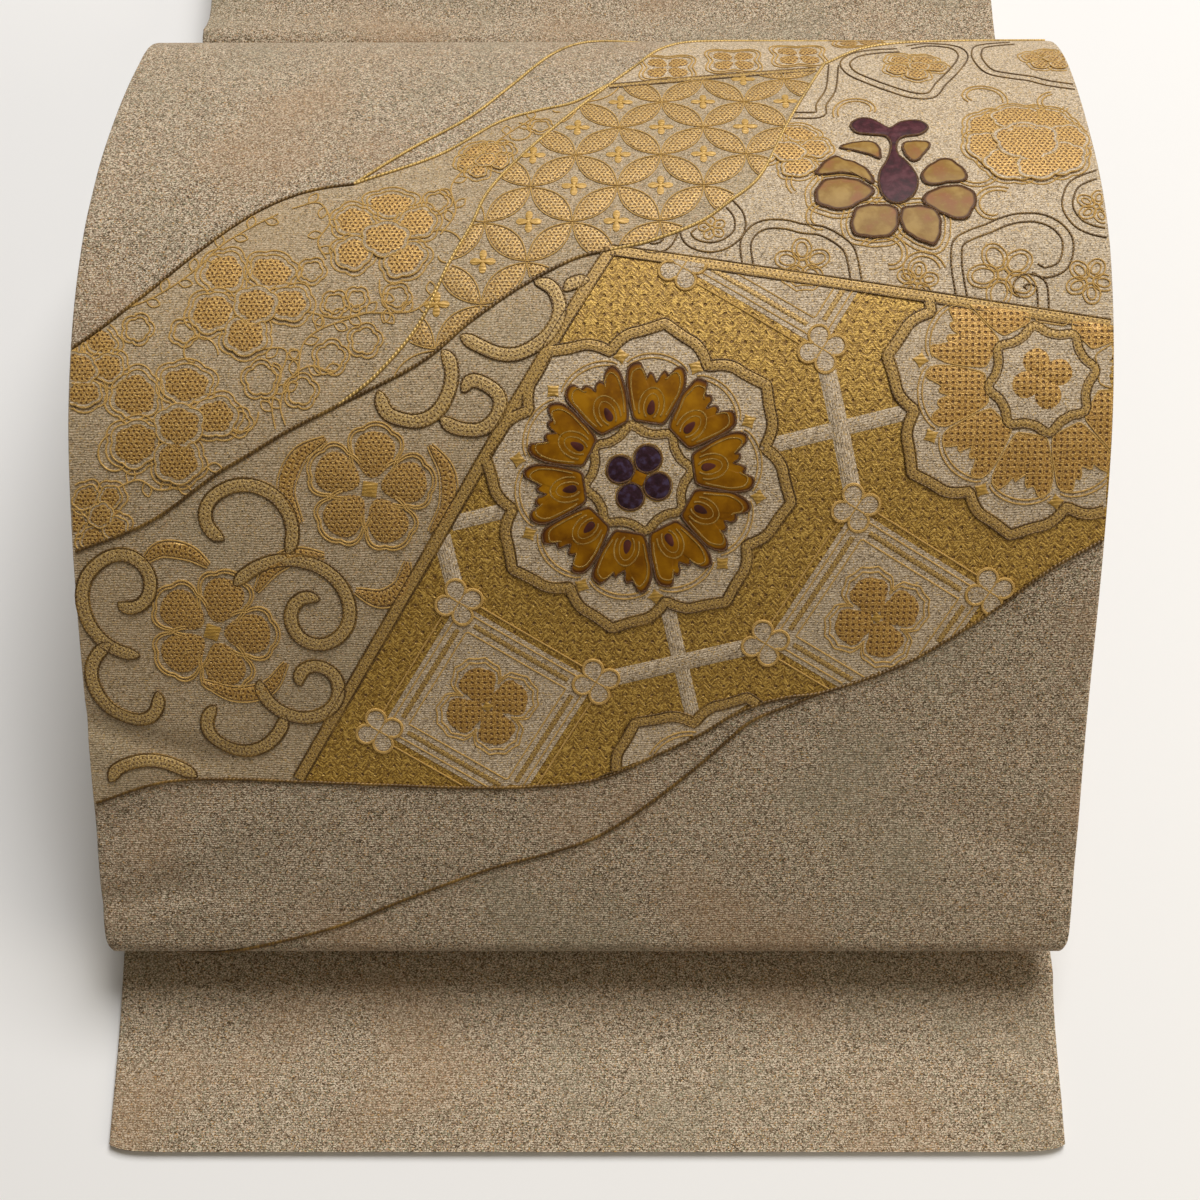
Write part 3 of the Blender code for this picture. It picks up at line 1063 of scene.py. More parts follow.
BUD_VIOLET = Inlay(
    "bud_violet_gloss", slot=Slot.VIOLET, roughness=0.45, coat=0.0, bump=0.00008, specular=0.15,
    body=(0.062, 0.010, 0.016), light=(0.100, 0.026, 0.034), patch=(0.034, 0.006, 0.009),
    edge=(0.035, 0.012, 0.014), clouds=420.0,
)
WINE = Inlay(
    "wine_inlay_gloss", slot=Slot.VIOLET, roughness=0.30, coat=0.25, bump=0.00004, body=(0.075, 0.016, 0.012),
    light=(0.11, 0.028, 0.018), patch=(0.035, 0.008, 0.008), edge=(0.02, 0.006, 0.005),
)
BRIGHT_THREAD = LaidThread("bright_gold_thread", roughness=0.34, metallic=0.35, bump=0.00005,
                           body=(0.42, 0.24, 0.04), light=(0.88, 0.64, 0.22), shade=(0.24, 0.11, 0.015))
EDGING = LaidThread("inlay_edging", slot=Slot.CORD, roughness=0.34, bump=0.00004, body=(0.105, 0.040, 0.010),
                    light=(0.46, 0.25, 0.06), shade=(0.035, 0.012, 0.004))
FLOOR = Studio("pale_surface", roughness=0.9)


# ---- Surfaces ----


@dataclass
class Surface:
    """Closed surfaces gathered until they are made one object."""

    points: list[Array] = field(default_factory=list)
    rims: list[Array] = field(default_factory=list)
    corners: list[Array] = field(default_factory=list)
    sizes: list[Array] = field(default_factory=list)
    maps: list[Array] = field(default_factory=list)
    count: int = 0

    def add(self, points: Array, rim: Array, faces: Sequence[Array], maps: Sequence[Array]) -> None:
        """Adds one closed surface.

        Args:
            points: its points, a row each.
            rim: 0 in the middle to 1 on the edge, for each point.
            faces: arrays of faces, a row of point numbers each.
            maps: for each array of faces, the flat place of each of its corners.
        """
        self.points.append(points.reshape(-1, 3))
        self.rims.append(rim.ravel())
        for rows, places in zip(faces, maps):
            self.corners.append(rows.ravel() + self.count)
            self.sizes.append(np.full(len(rows), rows.shape[1]))
            self.maps.append(places.reshape(-1, 2))
        self.count += len(self.points[-1])

    def build(self, name: str, finish: Finish, to_world: Callable[[Array], Array],
              sharp: float = 50.0) -> Object:
        """Makes the object, with its flat map, its rim attribute and its finish.

        Args:
            name: the object's name.
            finish: its finish.
            to_world: carries the gathered points to the world.
            sharp: edges that turn more than this many degrees stay sharp.

        Returns:
            The object, at the origin.
        """
        mesh = bpy.data.meshes.new(name)
        world = to_world(np.vstack(self.points))
        corners, sizes = np.concatenate(self.corners), np.concatenate(self.sizes)
        mesh.vertices.add(len(world))
        mesh.vertices.foreach_set("co", world.astype(np.float32).ravel())
        mesh.loops.add(len(corners))
        mesh.loops.foreach_set("vertex_index", corners.astype(np.int32))
        mesh.polygons.add(len(sizes))
        starts = np.concatenate([[0], np.cumsum(sizes)[:-1]])
        mesh.polygons.foreach_set("loop_start", starts.astype(np.int32))
        mesh.update(calc_edges=True)
        flat = mesh.uv_layers.new(name="flat")
        flat.uv.foreach_set("vector", np.vstack(self.maps).astype(np.float32).ravel())
        rim = mesh.attributes.new("rim", "FLOAT", "POINT")
        rim.data.foreach_set("value", np.concatenate(self.rims).astype(np.float32))
        mesh.validate()
        mesh.shade_smooth()
        mesh.set_sharp_from_angle(angle=math.radians(sharp))
        mesh.materials.append(finish.material())
        piece = bpy.data.objects.new(name, mesh)
        bpy.context.scene.collection.objects.link(piece)
        log.info("%s: %d triangles", name, int((sizes - 2).sum()))
        return piece


def grid_faces(rows: int, columns: int, wrap: bool = False) -> Array:
    """Four-cornered faces of a grid whose points are numbered row by row.

    Args:
        rows: points along.
        columns: points across.
        wrap: whether the last column joins the first.

    Returns:
        A row of point numbers for each face.
    """
    i, j = np.meshgrid(np.arange(rows - 1), np.arange(columns - (0 if wrap else 1)), indexing="ij")
    k = (j + 1) % columns
    return np.stack([i * columns + j, i * columns + k, (i + 1) * columns + k, (i + 1) * columns + j],
                    axis=-1).reshape(-1, 4)


def dress(piece: Object, slot: Slot, *replaced: str) -> None:
    """Rides a piece on the sash and hides the solids that it stands for.

    Args:
        piece: the piece.
        slot: not used.
        replaced: names of the solids.
    """
    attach(piece, BODY)
    if replaced:
        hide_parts(*replaced)


class Needlework(Surface):
    """Pads, bands and cords drawn on the flat drum panel: points are (across, along, lift) millimetres."""

    def by_place(self, points: Array, faces: Sequence[Array], rim: Array) -> None:
        """Adds a surface whose flat map is simply its places across and along, in metres."""
        places = points[:, :2] * MM
        self.add(points, rim, faces, [places[rows] for rows in faces])

    def pad(self, outline: Array, centre: Sequence[float], rim: float, crown: float, sink: float = 0.25,
            rings: Sequence[float] = (1.0, 0.9, 0.7, 0.4), ridge: float = 0.0) -> None:
        """Adds a padded shape.

        Each ring is the outline drawn towards the centre by a share t. Its lift falls from crown in the
        middle to rim at the edge with t squared, and a narrow bell at t = 0.92 adds the ridge. The same rings
        close it underneath, sunk in the cloth.

        Args:
            outline: closed outline without its closing point, in any order.
            centre: the place the rings are drawn to.
            rim: lift at the edge.
            crown: lift in the middle.
            sink: how far its underside is below the cloth's face.
            rings: shares from the edge inwards.
            ridge: extra lift just inside the edge.
        """
        x, y = outline[:, 0], outline[:, 1]
        if np.sum(x * np.roll(y, -1) - y * np.roll(x, -1)) < 0:
            outline = outline[::-1]
        middle = np.array(centre, dtype=float)
        count, t = len(outline), np.array(rings)
        flat = middle + t[:, None, None] * (outline - middle)
        lift = rim + (crown - rim) * (1 - t**2) + ridge * np.exp(-(((t - 0.92) / 0.05) ** 2))
        top = np.concatenate([flat, np.broadcast_to(lift[:, None, None], (*flat.shape[:2], 1))], axis=-1)
        under = np.concatenate([flat, np.full((*flat.shape[:2], 1), -sink)], axis=-1)
        heart = np.array([[*middle, crown], [*middle, -sink]])
        layer, last = len(t) * count, (len(t) - 1) * count
        j = np.arange(count)
        k = (j + 1) % count
        up = grid_faces(len(t), count, wrap=True)
        fan = np.stack([last + j, last + k, np.full(count, 2 * layer)], axis=-1)
        low_fan = np.stack([layer + last + k, layer + last + j, np.full(count, 2 * layer + 1)], axis=-1)
        side = np.stack([layer + j, layer + k, k, j], axis=-1)
        share = np.concatenate([np.repeat(t, count), np.repeat(t, count), [0.0, 0.0]])
        self.by_place(np.vstack([top.reshape(-1, 3), under.reshape(-1, 3), heart]),
                      [up, up[:, ::-1] + layer, side, fan, low_fan], share)

    def ground(self, zone: Zone, lift: float, columns: int, rows: int, sink: float = 0.25) -> None:
        """Adds a thin plate that fills a zone from its lower border to its upper one.

        Args:
            zone: the part of the drum that it fills.
            lift: how far its face is above the cloth's.
            columns: points across.
            rows: points along.
            sink: how far its underside is below the cloth's face.
        """
        across = np.linspace(zone.left, zone.right, columns)
        low, high = zone.heights(across)
        high = np.maximum(high, low + 0.05)
        along = low + np.linspace(0, 1, rows)[:, None] * (high - low)
        layers = [np.stack(np.broadcast_arrays(across, along, z), axis=-1).reshape(-1, 3)
                  for z in (lift, -sink)]
        size = rows * columns
        number = np.arange(size).reshape(rows, columns)
        edge = np.concatenate([number[0, :-1], number[:-1, -1], number[-1, :0:-1], number[:0:-1, 0]])
        after = np.roll(edge, -1)
        face = grid_faces(rows, columns)
        wall = np.stack([edge + size, after + size, after, edge], axis=-1)
        self.by_place(np.vstack(layers), [face, face[:, ::-1] + size, wall], np.zeros(2 * size))

    def tube(self, path: Array, half: Array | float, up: float, down: float, base: float, sides: int,
             square: float = 1.0, by_turn: bool = False) -> None:
        """Adds a closed tube or a domed band that follows a line.

        At each point of the line it is an oval across it: half wide, up above base and down below it. A
        closed line makes a ring, and an open one gets a flat end at each end.

        Args:
            path: rows of (across, along). Its first point is its last where it is closed.
            half: half its width, or one for each point.
            up: its height over base.
            down: its depth under base.
            base: lift of its middle.
            sides: how many sides it has.
            square: under 1 makes its top flatter and its sides steeper.
            by_turn: map it by the turn round it, not by the distance across it.
        """
        rounded = bool(np.allclose(path[0], path[-1])) and len(path) > 4
        side, lengths = normals(path), lengths_along(path) * MM
        if rounded:
            path, side = path[:-1], side[:-1]
        turn = np.arange(sides) * math.tau / sides
        out = np.sign(np.cos(turn)) * np.abs(np.cos(turn)) ** square
        rise = np.sin(turn)
        rise = base + np.where(rise > 0, up * np.abs(rise) ** square, down * rise)
        width = np.broadcast_to(np.asarray(half, dtype=float), (len(path),))
        flat = path[:, None, :] + (width[:, None] * out)[..., None] * side[:, None, :]
        lift = np.broadcast_to(rise[None, :, None], (*flat.shape[:2], 1))
        points = np.concatenate([flat, lift], axis=-1)
        spans = len(path) - (0 if rounded else 1)
        i, j = np.meshgrid(np.arange(spans), np.arange(sides), indexing="ij")
        step_i, step_j = np.stack([i, i, i + 1, i + 1], -1), np.stack([j, j + 1, j + 1, j], -1)
        over = step_j / sides if by_turn else out[step_j % sides] * float(width.mean()) * MM
        faces = [((step_i % len(path)) * sides + step_j % sides).reshape(-1, 4)]
        maps = [np.stack([lengths[step_i], over], axis=-1)]
        if not rounded:
            for row, order in ((0, -1), (len(path) - 1, 1)):
                faces.append((np.arange(sides)[::order] + row * sides)[None, :])
                maps.append(np.broadcast_to([lengths[row], 0.0], (1, sides, 2)))
        self.add(points, np.ones(points.shape[:2]), faces, maps)

    def cord(self, path: Array, radius: float, base: float = 0.32, sides: int = 8) -> None:
        """Adds a round cord couched along a line."""
        self.tube(path, radius, 0.8 * radius, radius, 0.75 * base, sides, by_turn=True)

    def band(self, path: Array, half: Array | float, top: float, sides: int = 12) -> None:
        """Adds a worked band along a line, gently domed."""
        self.tube(path, half, top, 0.25, 0.0, sides, square=0.55)

    def patch(self, zone: Zone, outline: Array, centre: Sequence[float], rim: float, crown: float,
              inset: float = 0.2, **form: Any) -> bool:
        """Adds a padded shape, drawn in to where it lies inside a zone.

        Args:
            zone: where it is cut off.
            outline: closed outline without its closing point.
            centre: the place that it is drawn in to.
            rim: lift at the edge.
            crown: lift in the middle.
            inset: how far inside the zone it stays.
            form: the pad's other choices.

        Returns:
            Whether there is room for it.
        """
        shape = zone.trim(outline, centre, inset)
        if shape is not None:
            self.pad(shape, centre, rim, crown, **form)
        return shape is not None

    def trace(self, zone: Zone, path: Array, radius: float, base: float = 0.26, inset: float = 0.4,
              sides: int = 5) -> None:
        """Adds a cord along the stretches of a line that lie inside a zone."""
        for run in zone.runs(path, inset):
            self.cord(run, radius, base, sides)

    def lay(self, name: str, finish: Finish, *replaced: str, slot: Slot | None = None) -> None:
        """Makes the gathered work one piece on the drum panel, with its finish."""
        dress(self.build(name, finish, LINE.on_drum), slot or finish.slot, *replaced)


def gathered() -> Any:
    """A field of needlework that fills while its part is built."""
    return field(init=False, default_factory=Needlework)


# ---- The cloth ----


@dataclass(frozen=True)
class Sheet:
    """A stretch of the cloth, made as a closed shell with softly seamed long edges."""

    name: str
    node: str
    held: str
    rests_on: tuple[str, ...]
    columns: int

    def outline(self) -> tuple[Array, Array]:
        """The cloth cut across, with a groove in each edge where its faces meet.

        Returns:
            Places across and lifts, going round.
        """
        half, up = WIDTH / 2, THICK / 2
        flat = np.linspace(-half + EDGE_ROUND, half - EDGE_ROUND, self.columns)
        turn = np.radians([67.5, 45.0, 22.5])
        x_round = half - EDGE_ROUND + EDGE_ROUND * np.cos(turn)
        z_round = up - EDGE_ROUND + EDGE_ROUND * np.sin(turn)
        x_edge = np.concatenate([x_round, [half, half - SEAM_DEPTH, half], x_round[::-1]])
        z_edge = np.concatenate([z_round, [SEAM_HALF, 0.0, -SEAM_HALF], -z_round[::-1]])
        across = np.concatenate([flat, x_edge, flat[::-1], -x_edge])
        lift = np.concatenate([np.full(self.columns, up), z_edge, np.full(self.columns, -up), -z_edge])
        return across, lift

    def close(self, world: Array, across: Array, along: Array) -> None:
        """Closes a swept outline at both ends and makes it a sheet.

        Args:
            world: its points, a row for each place along.
            across: places across, going round the outline.
            along: places along.
        """
        rows, columns = world.shape[:2]
        places = np.stack(np.broadcast_arrays(across, along[:, None]), axis=-1).reshape(-1, 2)
        edge = np.arange(columns)
        faces = [grid_faces(rows, columns, wrap=True)[:, ::-1], edge[None, :],
                 (edge[::-1] + (rows - 1) * columns)[None, :]]
        surface = Surface()
        surface.add(world, np.zeros((rows, columns)), faces, [places[face] for face in faces])
        piece = surface.build(self.name, BROCADE, lambda p: p, sharp=60)
        dress(piece, BROCADE.slot, self.node)


@dataclass(frozen=True)
class Stretch(Sheet):
    """One stretch of the cloth between two stations of the middle line."""

    first: str
    last: str
    step: float
    bend: float = 0.12

    def build(self) -> None:
        """Sweeps the outline along its stretch, with closer steps where the line bends.

        The hem's two corners are drawn in by a steep power of the place across, fading with the distance.
        """
        at_hem = self.first == STATIONS[0][0]
        fine = np.linspace(LINE.at[self.first] + (0 if at_hem else GAP), LINE.at[self.last], 4000)
        heading = np.interp(fine, LINE.along, LINE.heading)
        loads = np.diff(fine) / self.step + np.abs(np.diff(heading)) / self.bend
        load = np.concatenate([[0], np.cumsum(loads)])
        along = np.interp(np.linspace(0, load[-1], math.ceil(load[-1]) + 1), load, fine)
        across, lift = self.outline()
        world = LINE.place(*np.broadcast_arrays(across, along[:, None], lift))
        if at_hem:
            corner = HEM_CORNER * np.abs(across / (WIDTH / 2)) ** 40
            world[..., 1] += corner * np.exp(-along[:, None] / (2 * HEM_CORNER))
        self.close(world, across, along)


@dataclass(frozen=True)
class FoldedLength(Sheet):
    """The rest of the sash, folded to and fro in layers that touch only at their folds."""

    shuffle: float = 0.0009
    nose_room: float = 0.0008
    top_short: float = 0.0006
    narrowed: float = 0.0022
    rows: int = 26
    nose: int = 8

    def middle(self) -> Array:
        """The folded length's middle line, to and fro, with a round turn at each fold.

        Returns:
            Rows of (y, z).
        """
        lines = []
        for layer in range(PILE_LAYERS):
            way = 1 if layer % 2 == 0 else -1
            z = THICK / 2 + layer * PILE_PITCH
            stray = self.shuffle * math.sin(2.3 * layer)
            top = layer == PILE_LAYERS - 1
            back = PILE_BACK - self.nose_room - abs(stray) - (self.top_short if top else 0.0)
            y = np.linspace(PILE_FRONT + self.nose_room + stray, back, self.rows)[::way]
            lines.append(np.stack([y, np.full(self.rows, z)], axis=-1))
            if not top:
                turn = np.radians(np.linspace(-90, 90, self.nose + 2)[1:-1])
                bend = TURN * np.stack([way * np.cos(turn), 1 + np.sin(turn)], axis=-1)
                lines.append(np.array([y[-1], z]) + bend)
        return np.vstack(lines)

    def build(self) -> None:
        """Sweeps the cloth's outline along the folded line, each layer a little to one side."""
        middle = self.middle()
        out = normals(middle)
        across, lift = self.outline()
        wander = self.shuffle * np.sin(1.7 * middle[:, 1] / PILE_PITCH + 3.0 * middle[:, 0] / PILE_BACK)
        x = across * (1 - self.narrowed) + DRIFT / 2 + wander[:, None]
        y, z = (middle[:, k:k + 1] + out[:, k:k + 1] * lift for k in (0, 1))
        self.close(np.stack([x, y - MIDDLE_Y, z], axis=-1), across, lengths_along(middle))


STRETCHES = (
    Stretch("sash_flap", "flap", "laid", (), 130, "hem", "flap end", 0.0030),
    Stretch("sash_inner_fold", "inner_fold", "folded", ("flap",), 40, "flap end", "lower edge", 0.0060),
    Stretch("sash_drum_panel", "drum", "folded", ("inner_fold", "folded_pile"), 128, "lower edge", "landing",
            0.0026),
    Stretch("sash_rear_run", "rear_run", "laid", ("folded_pile",), 64, "landing", "rear back", 0.0050),
)
FOLDED_LENGTH = FoldedLength("folded_length", "folded_pile", "folded", (), 24)


# ---- The design's borders and zones ----


LEFT, RIGHT = -154.6, 154.6
PAST_EDGE = 9.0
JOINT = -74.0
TRIPLE = (5.5, 222.2)
BORDERS = {
    "upper left": ((-156, 191), (-146, 198.5), (-132, 210.5), (-121, 221), (-110, 231), (-101, 238),
        (-92, 243), (-83, 246), (-74, 247.5)),
    "high sweep": ((-74, 247.5), (-58, 263), (-41, 279), (-29, 297), (-17, 319), (-4, 335), (14, 350),
        (42, 362), (92, 370), (156, 374)),
    "low sweep": ((-74, 247.5), (-49, 260), (-31, 276.5), (-19, 282.5), (-8, 287), (3, 297.5)),
    "leaf edge": ((-74, 175), (-63, 184), (-51, 199), (-43, 218), (-37, 231), (-32, 245), (-16, 270),
        (0, 293), (10, 308), (20, 324), (34, 336), (60, 343), (100, 347), (156, 351)),
    "middle sweep": ((-156, 130.5), (-131, 140.5), (-111, 154.5), (-100, 161), (-89, 167.5), (-74, 175),
        (-50, 187.5), (-36, 199.5), (-21, 210.5), (-5, 219.5), TRIPLE),
    "circle edge": (TRIPLE, (17, 225), (32, 231.5), (41, 239), (51, 250), (61, 277), (74, 311)),
    "top sweep": ((74, 311), (90, 325), (110, 333), (135, 337.5), (156, 339.5)),
    "circle top": ((3, 296.5), (37, 302), (71, 307)),
    "right band": (TRIPLE, (80, 209.6), (156, 196.8)),
    "slant band": ((-90, 58), (-42, 140), TRIPLE),
    "lower": ((-156, 49), (-133, 56.5), (-111, 57.5), (-90, 57), (-65, 56), (-37, 55), (-15, 55.5), (4, 58),
        (20, 65), (35, 72.5), (47, 80), (60, 84.5), (73, 86.5), (96, 95), (111, 104), (125, 114), (139, 125),
        (156, 135)),
    "foot": ((73, 86.5), (63, 82.5), (51, 77), (43, 70), (35, 62.5), (20, 50), (4, 39), (-12, 33),
        (-28, 28.5), (-44, 22.5), (-60, 16), (-76, 9), (-92, 4), (-109, 0), (-124, -3), (-136, -5.5)),
}


class Borders:
    """The sweeping borders that part the drum into zones, and the zones between them."""

    def __init__(self) -> None:
        """Draws the borders and works out the zones between them."""
        self.paths = {name: smooth(points) for name, points in BORDERS.items()}
        left, right, centre = LEFT - PAST_EDGE, RIGHT + PAST_EDGE, TRIPLE[0]
        self.peonies = Zone(
            self.join(("middle sweep", left, JOINT), ("leaf edge", JOINT + 0.1, 3)),
            self.join(("upper left", left, JOINT), ("low sweep", JOINT + 0.1, 3)), LEFT, 2.0)
        self.circles = Zone(
            self.join(("middle sweep", JOINT + 0.1, centre), ("circle edge", centre, 74)),
            self.join(("leaf edge", JOINT + 0.1, 2), ("circle top", 3, 71)), -73.0, 72.5)
        self.scrolls = Zone(
            self.join(("lower", left, -91), ("slant band", -90, centre)),
            self.join(("middle sweep", left, centre)), LEFT, 3.5)
        self.gold = Zone(
            self.join(("lower", -90, right)),
            self.join(("slant band", -90, centre), ("right band", centre, right)), -88.5, RIGHT)
        self.clouds = Zone(
            self.join(("right band", centre, right)),
            self.join(("circle edge", centre, 74), ("top sweep", 74, right)), 7.5, RIGHT)
        self.top = Zone(
            self.join(("circle top", 3, 71), ("top sweep", 74, right)),
            self.join(("leaf edge", 3, right)), 4.0, RIGHT)

    def join(self, *parts: tuple[str, float, float]) -> Array:
        """Joins parts of borders into one height for each place across.

        Args:
            parts: each part's border, and where it starts and ends across.

        Returns:
            Rows of (across, along).
        """
        rows = []
        for name, low, high in parts:
            path = self.paths[name]
            rows.append(path[(path[:, 0] >= low) & (path[:, 0] <= high)])
        return np.vstack(rows)

    def build(self) -> None:
        """Lays the couched cords and the worked bands of the borders."""
        ends = [[-200.0, 0.0], [200.0, 0.0]]
        cloth = Zone(np.array(ends) + (0, -5.0), np.array(ends) + (0, 380.0), -HALF_MM + 0.4, HALF_MM - 0.4)
        dark, bright, bands = (Needlework() for _ in range(3))
        for name in ("upper left", "middle sweep", "lower", "foot"):
            dark.trace(cloth, self.paths[name], 0.52, 0.36, 0.0, 8)
        for name in ("high sweep", "low sweep", "leaf edge", "top sweep", "circle edge"):
            bright.trace(cloth, self.paths[name], 0.50, 0.36, 0.0, 8)
        for name, half in (("right band", 1.7), ("slant band", 1.8), ("circle top", 1.1)):
            for run in cloth.runs(self.paths[name], 0.0):
                bands.band(run, half, 0.36)
            for side in (-half, half):
                dark.trace(cloth, offset(self.paths[name], side), 0.32, 0.32, 0.0, 8)
        dark.lay("border_cords", DARK_CORD)
        bright.lay("border_gold_cords", BRIGHT_CORD)
        bands.lay("border_bands", BAND_STITCH, slot=Slot.CORD)


# ---- The gold ground with its round flower and lattice ----


@dataclass(frozen=True)
class Lattice:
    """The gold ground's repeat: eight-lobed medallions on a slanted grid, with knots and diamonds between."""

    origin: Pair = (15.0, 153.0)
    slant: float = 13.5
    step_right: float = 122.0
    step_up: float = 117.0
    lobe_in: float = 38.3
    lobe_out: float = 46.3
    knot_reach: float = 34.5

    def beside(self, centre: Pair, right: float, up: float) -> Pair:
        """A place given along the slanted grid's own two directions, from a centre."""
        return tuple(turned(right, up, self.slant, centre))

    def centre(self, column: float, row: float) -> Pair:
        """The medallion's or, at halves, the diamond's centre at a place in the grid."""
        return self.beside(self.origin, column * self.step_right, row * self.step_up)

    def square(self, centre: Pair, size: float) -> Array:
        """A closed square on its point, turned with the grid."""
        corners = [self.beside(centre, *place) for place in ((size, 0), (0, size), (-size, 0), (0, -size))]
        return closed(np.array(corners), 1.2)

    def lobed(self, bearing: Array) -> Array:
        """The medallion's radius by bearing: eight lobes, each a swelling side that turns up to a point.

        Args:
            bearing: bearings in radians.

        Returns:
            A radius for each.
        """
        rise = 1 - np.abs(((bearing / (math.tau / 8)) % 1.0) - 0.5) * 2
        side = 0.60 * np.sin(0.5 * math.pi * np.minimum(rise / 0.55, 1))
        swell = side + 0.40 * np.clip(2 * rise - 1, 0, 1) ** 1.5
        return self.lobe_in + (self.lobe_out - self.lobe_in) * swell


@dataclass
class GoldGround:
    """Everything worked on the gold ground except the inlays."""

    zone: Zone
    lattice: Lattice = Lattice()
    turn: float = 9.0
    mesh: Needlework = gathered()
    pale: Needlework = gathered()
    satin: Needlework = gathered()
    thread: Needlework = gathered()
    gold: Needlework = gathered()
    bands: Needlework = gathered()
    cords: Needlework = gathered()

    def edged(self, path: Array, half: float, radius: float) -> None:
        """A band between two dark cords, cut off at the zone's borders.

        Args:
            path: the band's middle.
            half: half its width.
            radius: the cords' radius.
        """
        for run in self.zone.runs(path, 0.3):
            self.bands.band(run, half, 0.50)
        for side in (-half, half):
            self.cords.trace(self.zone, offset(path, side), radius, 0.45, 0.3, 8)

    def thin(self, path: Array, radius: float, base: float = 0.42) -> None:
        """A thin gold line, cut off at the zone's borders."""
        self.thread.trace(self.zone, path, radius, base, 0.3, 6)

    def medallion(self, centre: Pair, kernel: Pair, flower: bool) -> None:
        """One medallion: pale ground, lobed border, star ring, and either mesh petals or room for inlays.

        Args:
            centre: its middle.
            kernel: a place inside the part of it that shows.
            flower: whether its petals are worked in mesh.
        """
        grid = self.lattice
        outline, border = (polar(centre, grid.lobed, count, grid.slant) for count in (160, 384))
        self.pale.patch(self.zone, outline, kernel, 0.24, 0.24, sink=0.2, rings=np.linspace(1, 0.1, 8))
        self.edged(closed(border, 1.0), 1.6, 0.30)
        turn = np.radians(np.linspace(-15.5, 15.5, 15))
        for k in range(10):
            bearing = self.turn + 18 + 36 * k
            self.diamond_mark(toward(centre, bearing, 36.3), 2.5, bearing)
            for grow in (0.0, 1.3):
                reach = 32.6 + grow + 3.0 * np.cos(turn * 5.7) ** 0.6
                self.thin(turned(reach * np.cos(turn), reach * np.sin(turn), bearing - 18, centre), 0.24)
        if not flower:
            return
        for k in range(10):
            outline, heart = flame_petal(centre, self.turn + 36 * k, k)
            self.mesh.patch(self.zone, outline, heart, 0.34, 0.60)
            self.thin(closed(outline), 0.24)
        self.star(centre)
        for bearing in range(20, 380, 90):
            outline = petal_outline(toward(centre, bearing, 4.6), bearing, 4.9, 4.2, 0.3)
            self.mesh.patch(self.zone, outline, outline.mean(axis=0), 0.35, 0.75)

    def star(self, centre: Pair) -> None:
        """The eight-pointed wavy ring round a flower's heart.

        Args:
            centre: its middle.
        """
        outline, border = (polar(centre, lambda b: 14.4 + 1.15 * np.cos(8 * b) + 0.25 * np.cos(16 * b), count,
                                 self.turn) for count in (96, 256))
        self.pale.patch(self.zone, outline, centre, 0.42, 0.42, rings=(1.0, 0.7, 0.4, 0.15))
        self.edged(closed(border, 0.9), 1.3, 0.27)

    def diamond_mark(self, at: Pair, size: float, turn: float) -> None:
        """A small gold diamond with curved-in sides.

        Args:
            at: its middle.
            size: its radius at the points.
            turn: the bearing of one of its points, in degrees.
        """
        if self.zone.holds(at, 2.0):
            outline = polar(
                at, lambda b: size / (np.abs(np.cos(b)) ** 0.8 + np.abs(np.sin(b)) ** 0.8) ** 1.25, 24, turn)
            self.gold.pad(outline, at, 0.42, 0.62, rings=(1.0, 0.6))

    def strip(self, start: Pair, end: Pair, half: float, top: float) -> None:
        """A pale bar between two places."""
        for run in self.zone.runs(evenly(np.array([start, end]), 1.5), 0.6):
            self.satin.band(run, half, top, 8)

    def knot(self, centre: Pair) -> None:
        """A pale four-lobed knot with a gold edge and a gold line between its lobes.

        Args:
            centre: its middle.
        """
        if not self.zone.holds(centre, 0.5):
            return
        slant = self.lattice.slant
        outline, edge = (
            polar(centre, lambda b: size * (0.42 + 0.58 * np.abs(np.cos(2 * b)) ** 0.6), count, slant)
            for size, count in ((6.6, 64), (7.2, 120)))
        self.satin.patch(self.zone, outline, centre, 0.40, 0.5)
        self.thin(closed(edge, 0.8), 0.5, 0.36)
        for way in (45, 135):
            ends = [toward(centre, slant + way, reach) for reach in (-3.0, 3.0)]
            self.thin(evenly(np.array(ends), 0.8), 0.3, 0.5)

    def diamond(self, centre: Pair) -> None:
        """A diamond between four knots: pale field, nested lines, and a mesh flower in its middle.

        Args:
            centre: its middle.
        """
        grid, zone = self.lattice, self.zone
        kernel = centre if zone.holds(centre, 1.0) else (centre[0], centre[1] - 14.0)
        self.pale.patch(zone, grid.square(centre, grid.knot_reach)[:-1], kernel, 0.20, 0.20, sink=0.2,
                        rings=np.linspace(1, 0.1, 9))
        for grow in (3.0, -2.2, -9.5):
            self.thin(grid.square(centre, grid.knot_reach + grow), 0.26, 0.26)
        square = grid.square(centre, grid.knot_reach - 5.8)
        side = len(square) // 4
        for k in range(4):
            for run in zone.runs(square[k * side + 3:(k + 1) * side - 2], 0.8):
                self.bands.band(run, 0.9, 0.34)
        for k in range(4):
            bearing = grid.slant + 6 + 90 * k
            middle = toward(centre, bearing, 7.0)
            self.mesh.patch(zone, petal_outline(middle, bearing, 6.0, 5.6, 0.7, 0.12, 5), middle, 0.34, 0.6)
        for size in (8.5, 10.0):
            edge = polar(centre, lambda b: size + 6.6 * np.abs(np.cos(2 * b)) ** 0.55
                         - 0.7 * np.abs(np.sin(10 * b)), 200, grid.slant + 6)
            self.thin(closed(edge, 0.8), 0.27, 0.26)
        self.diamond_mark(centre, 2.0, grid.slant)

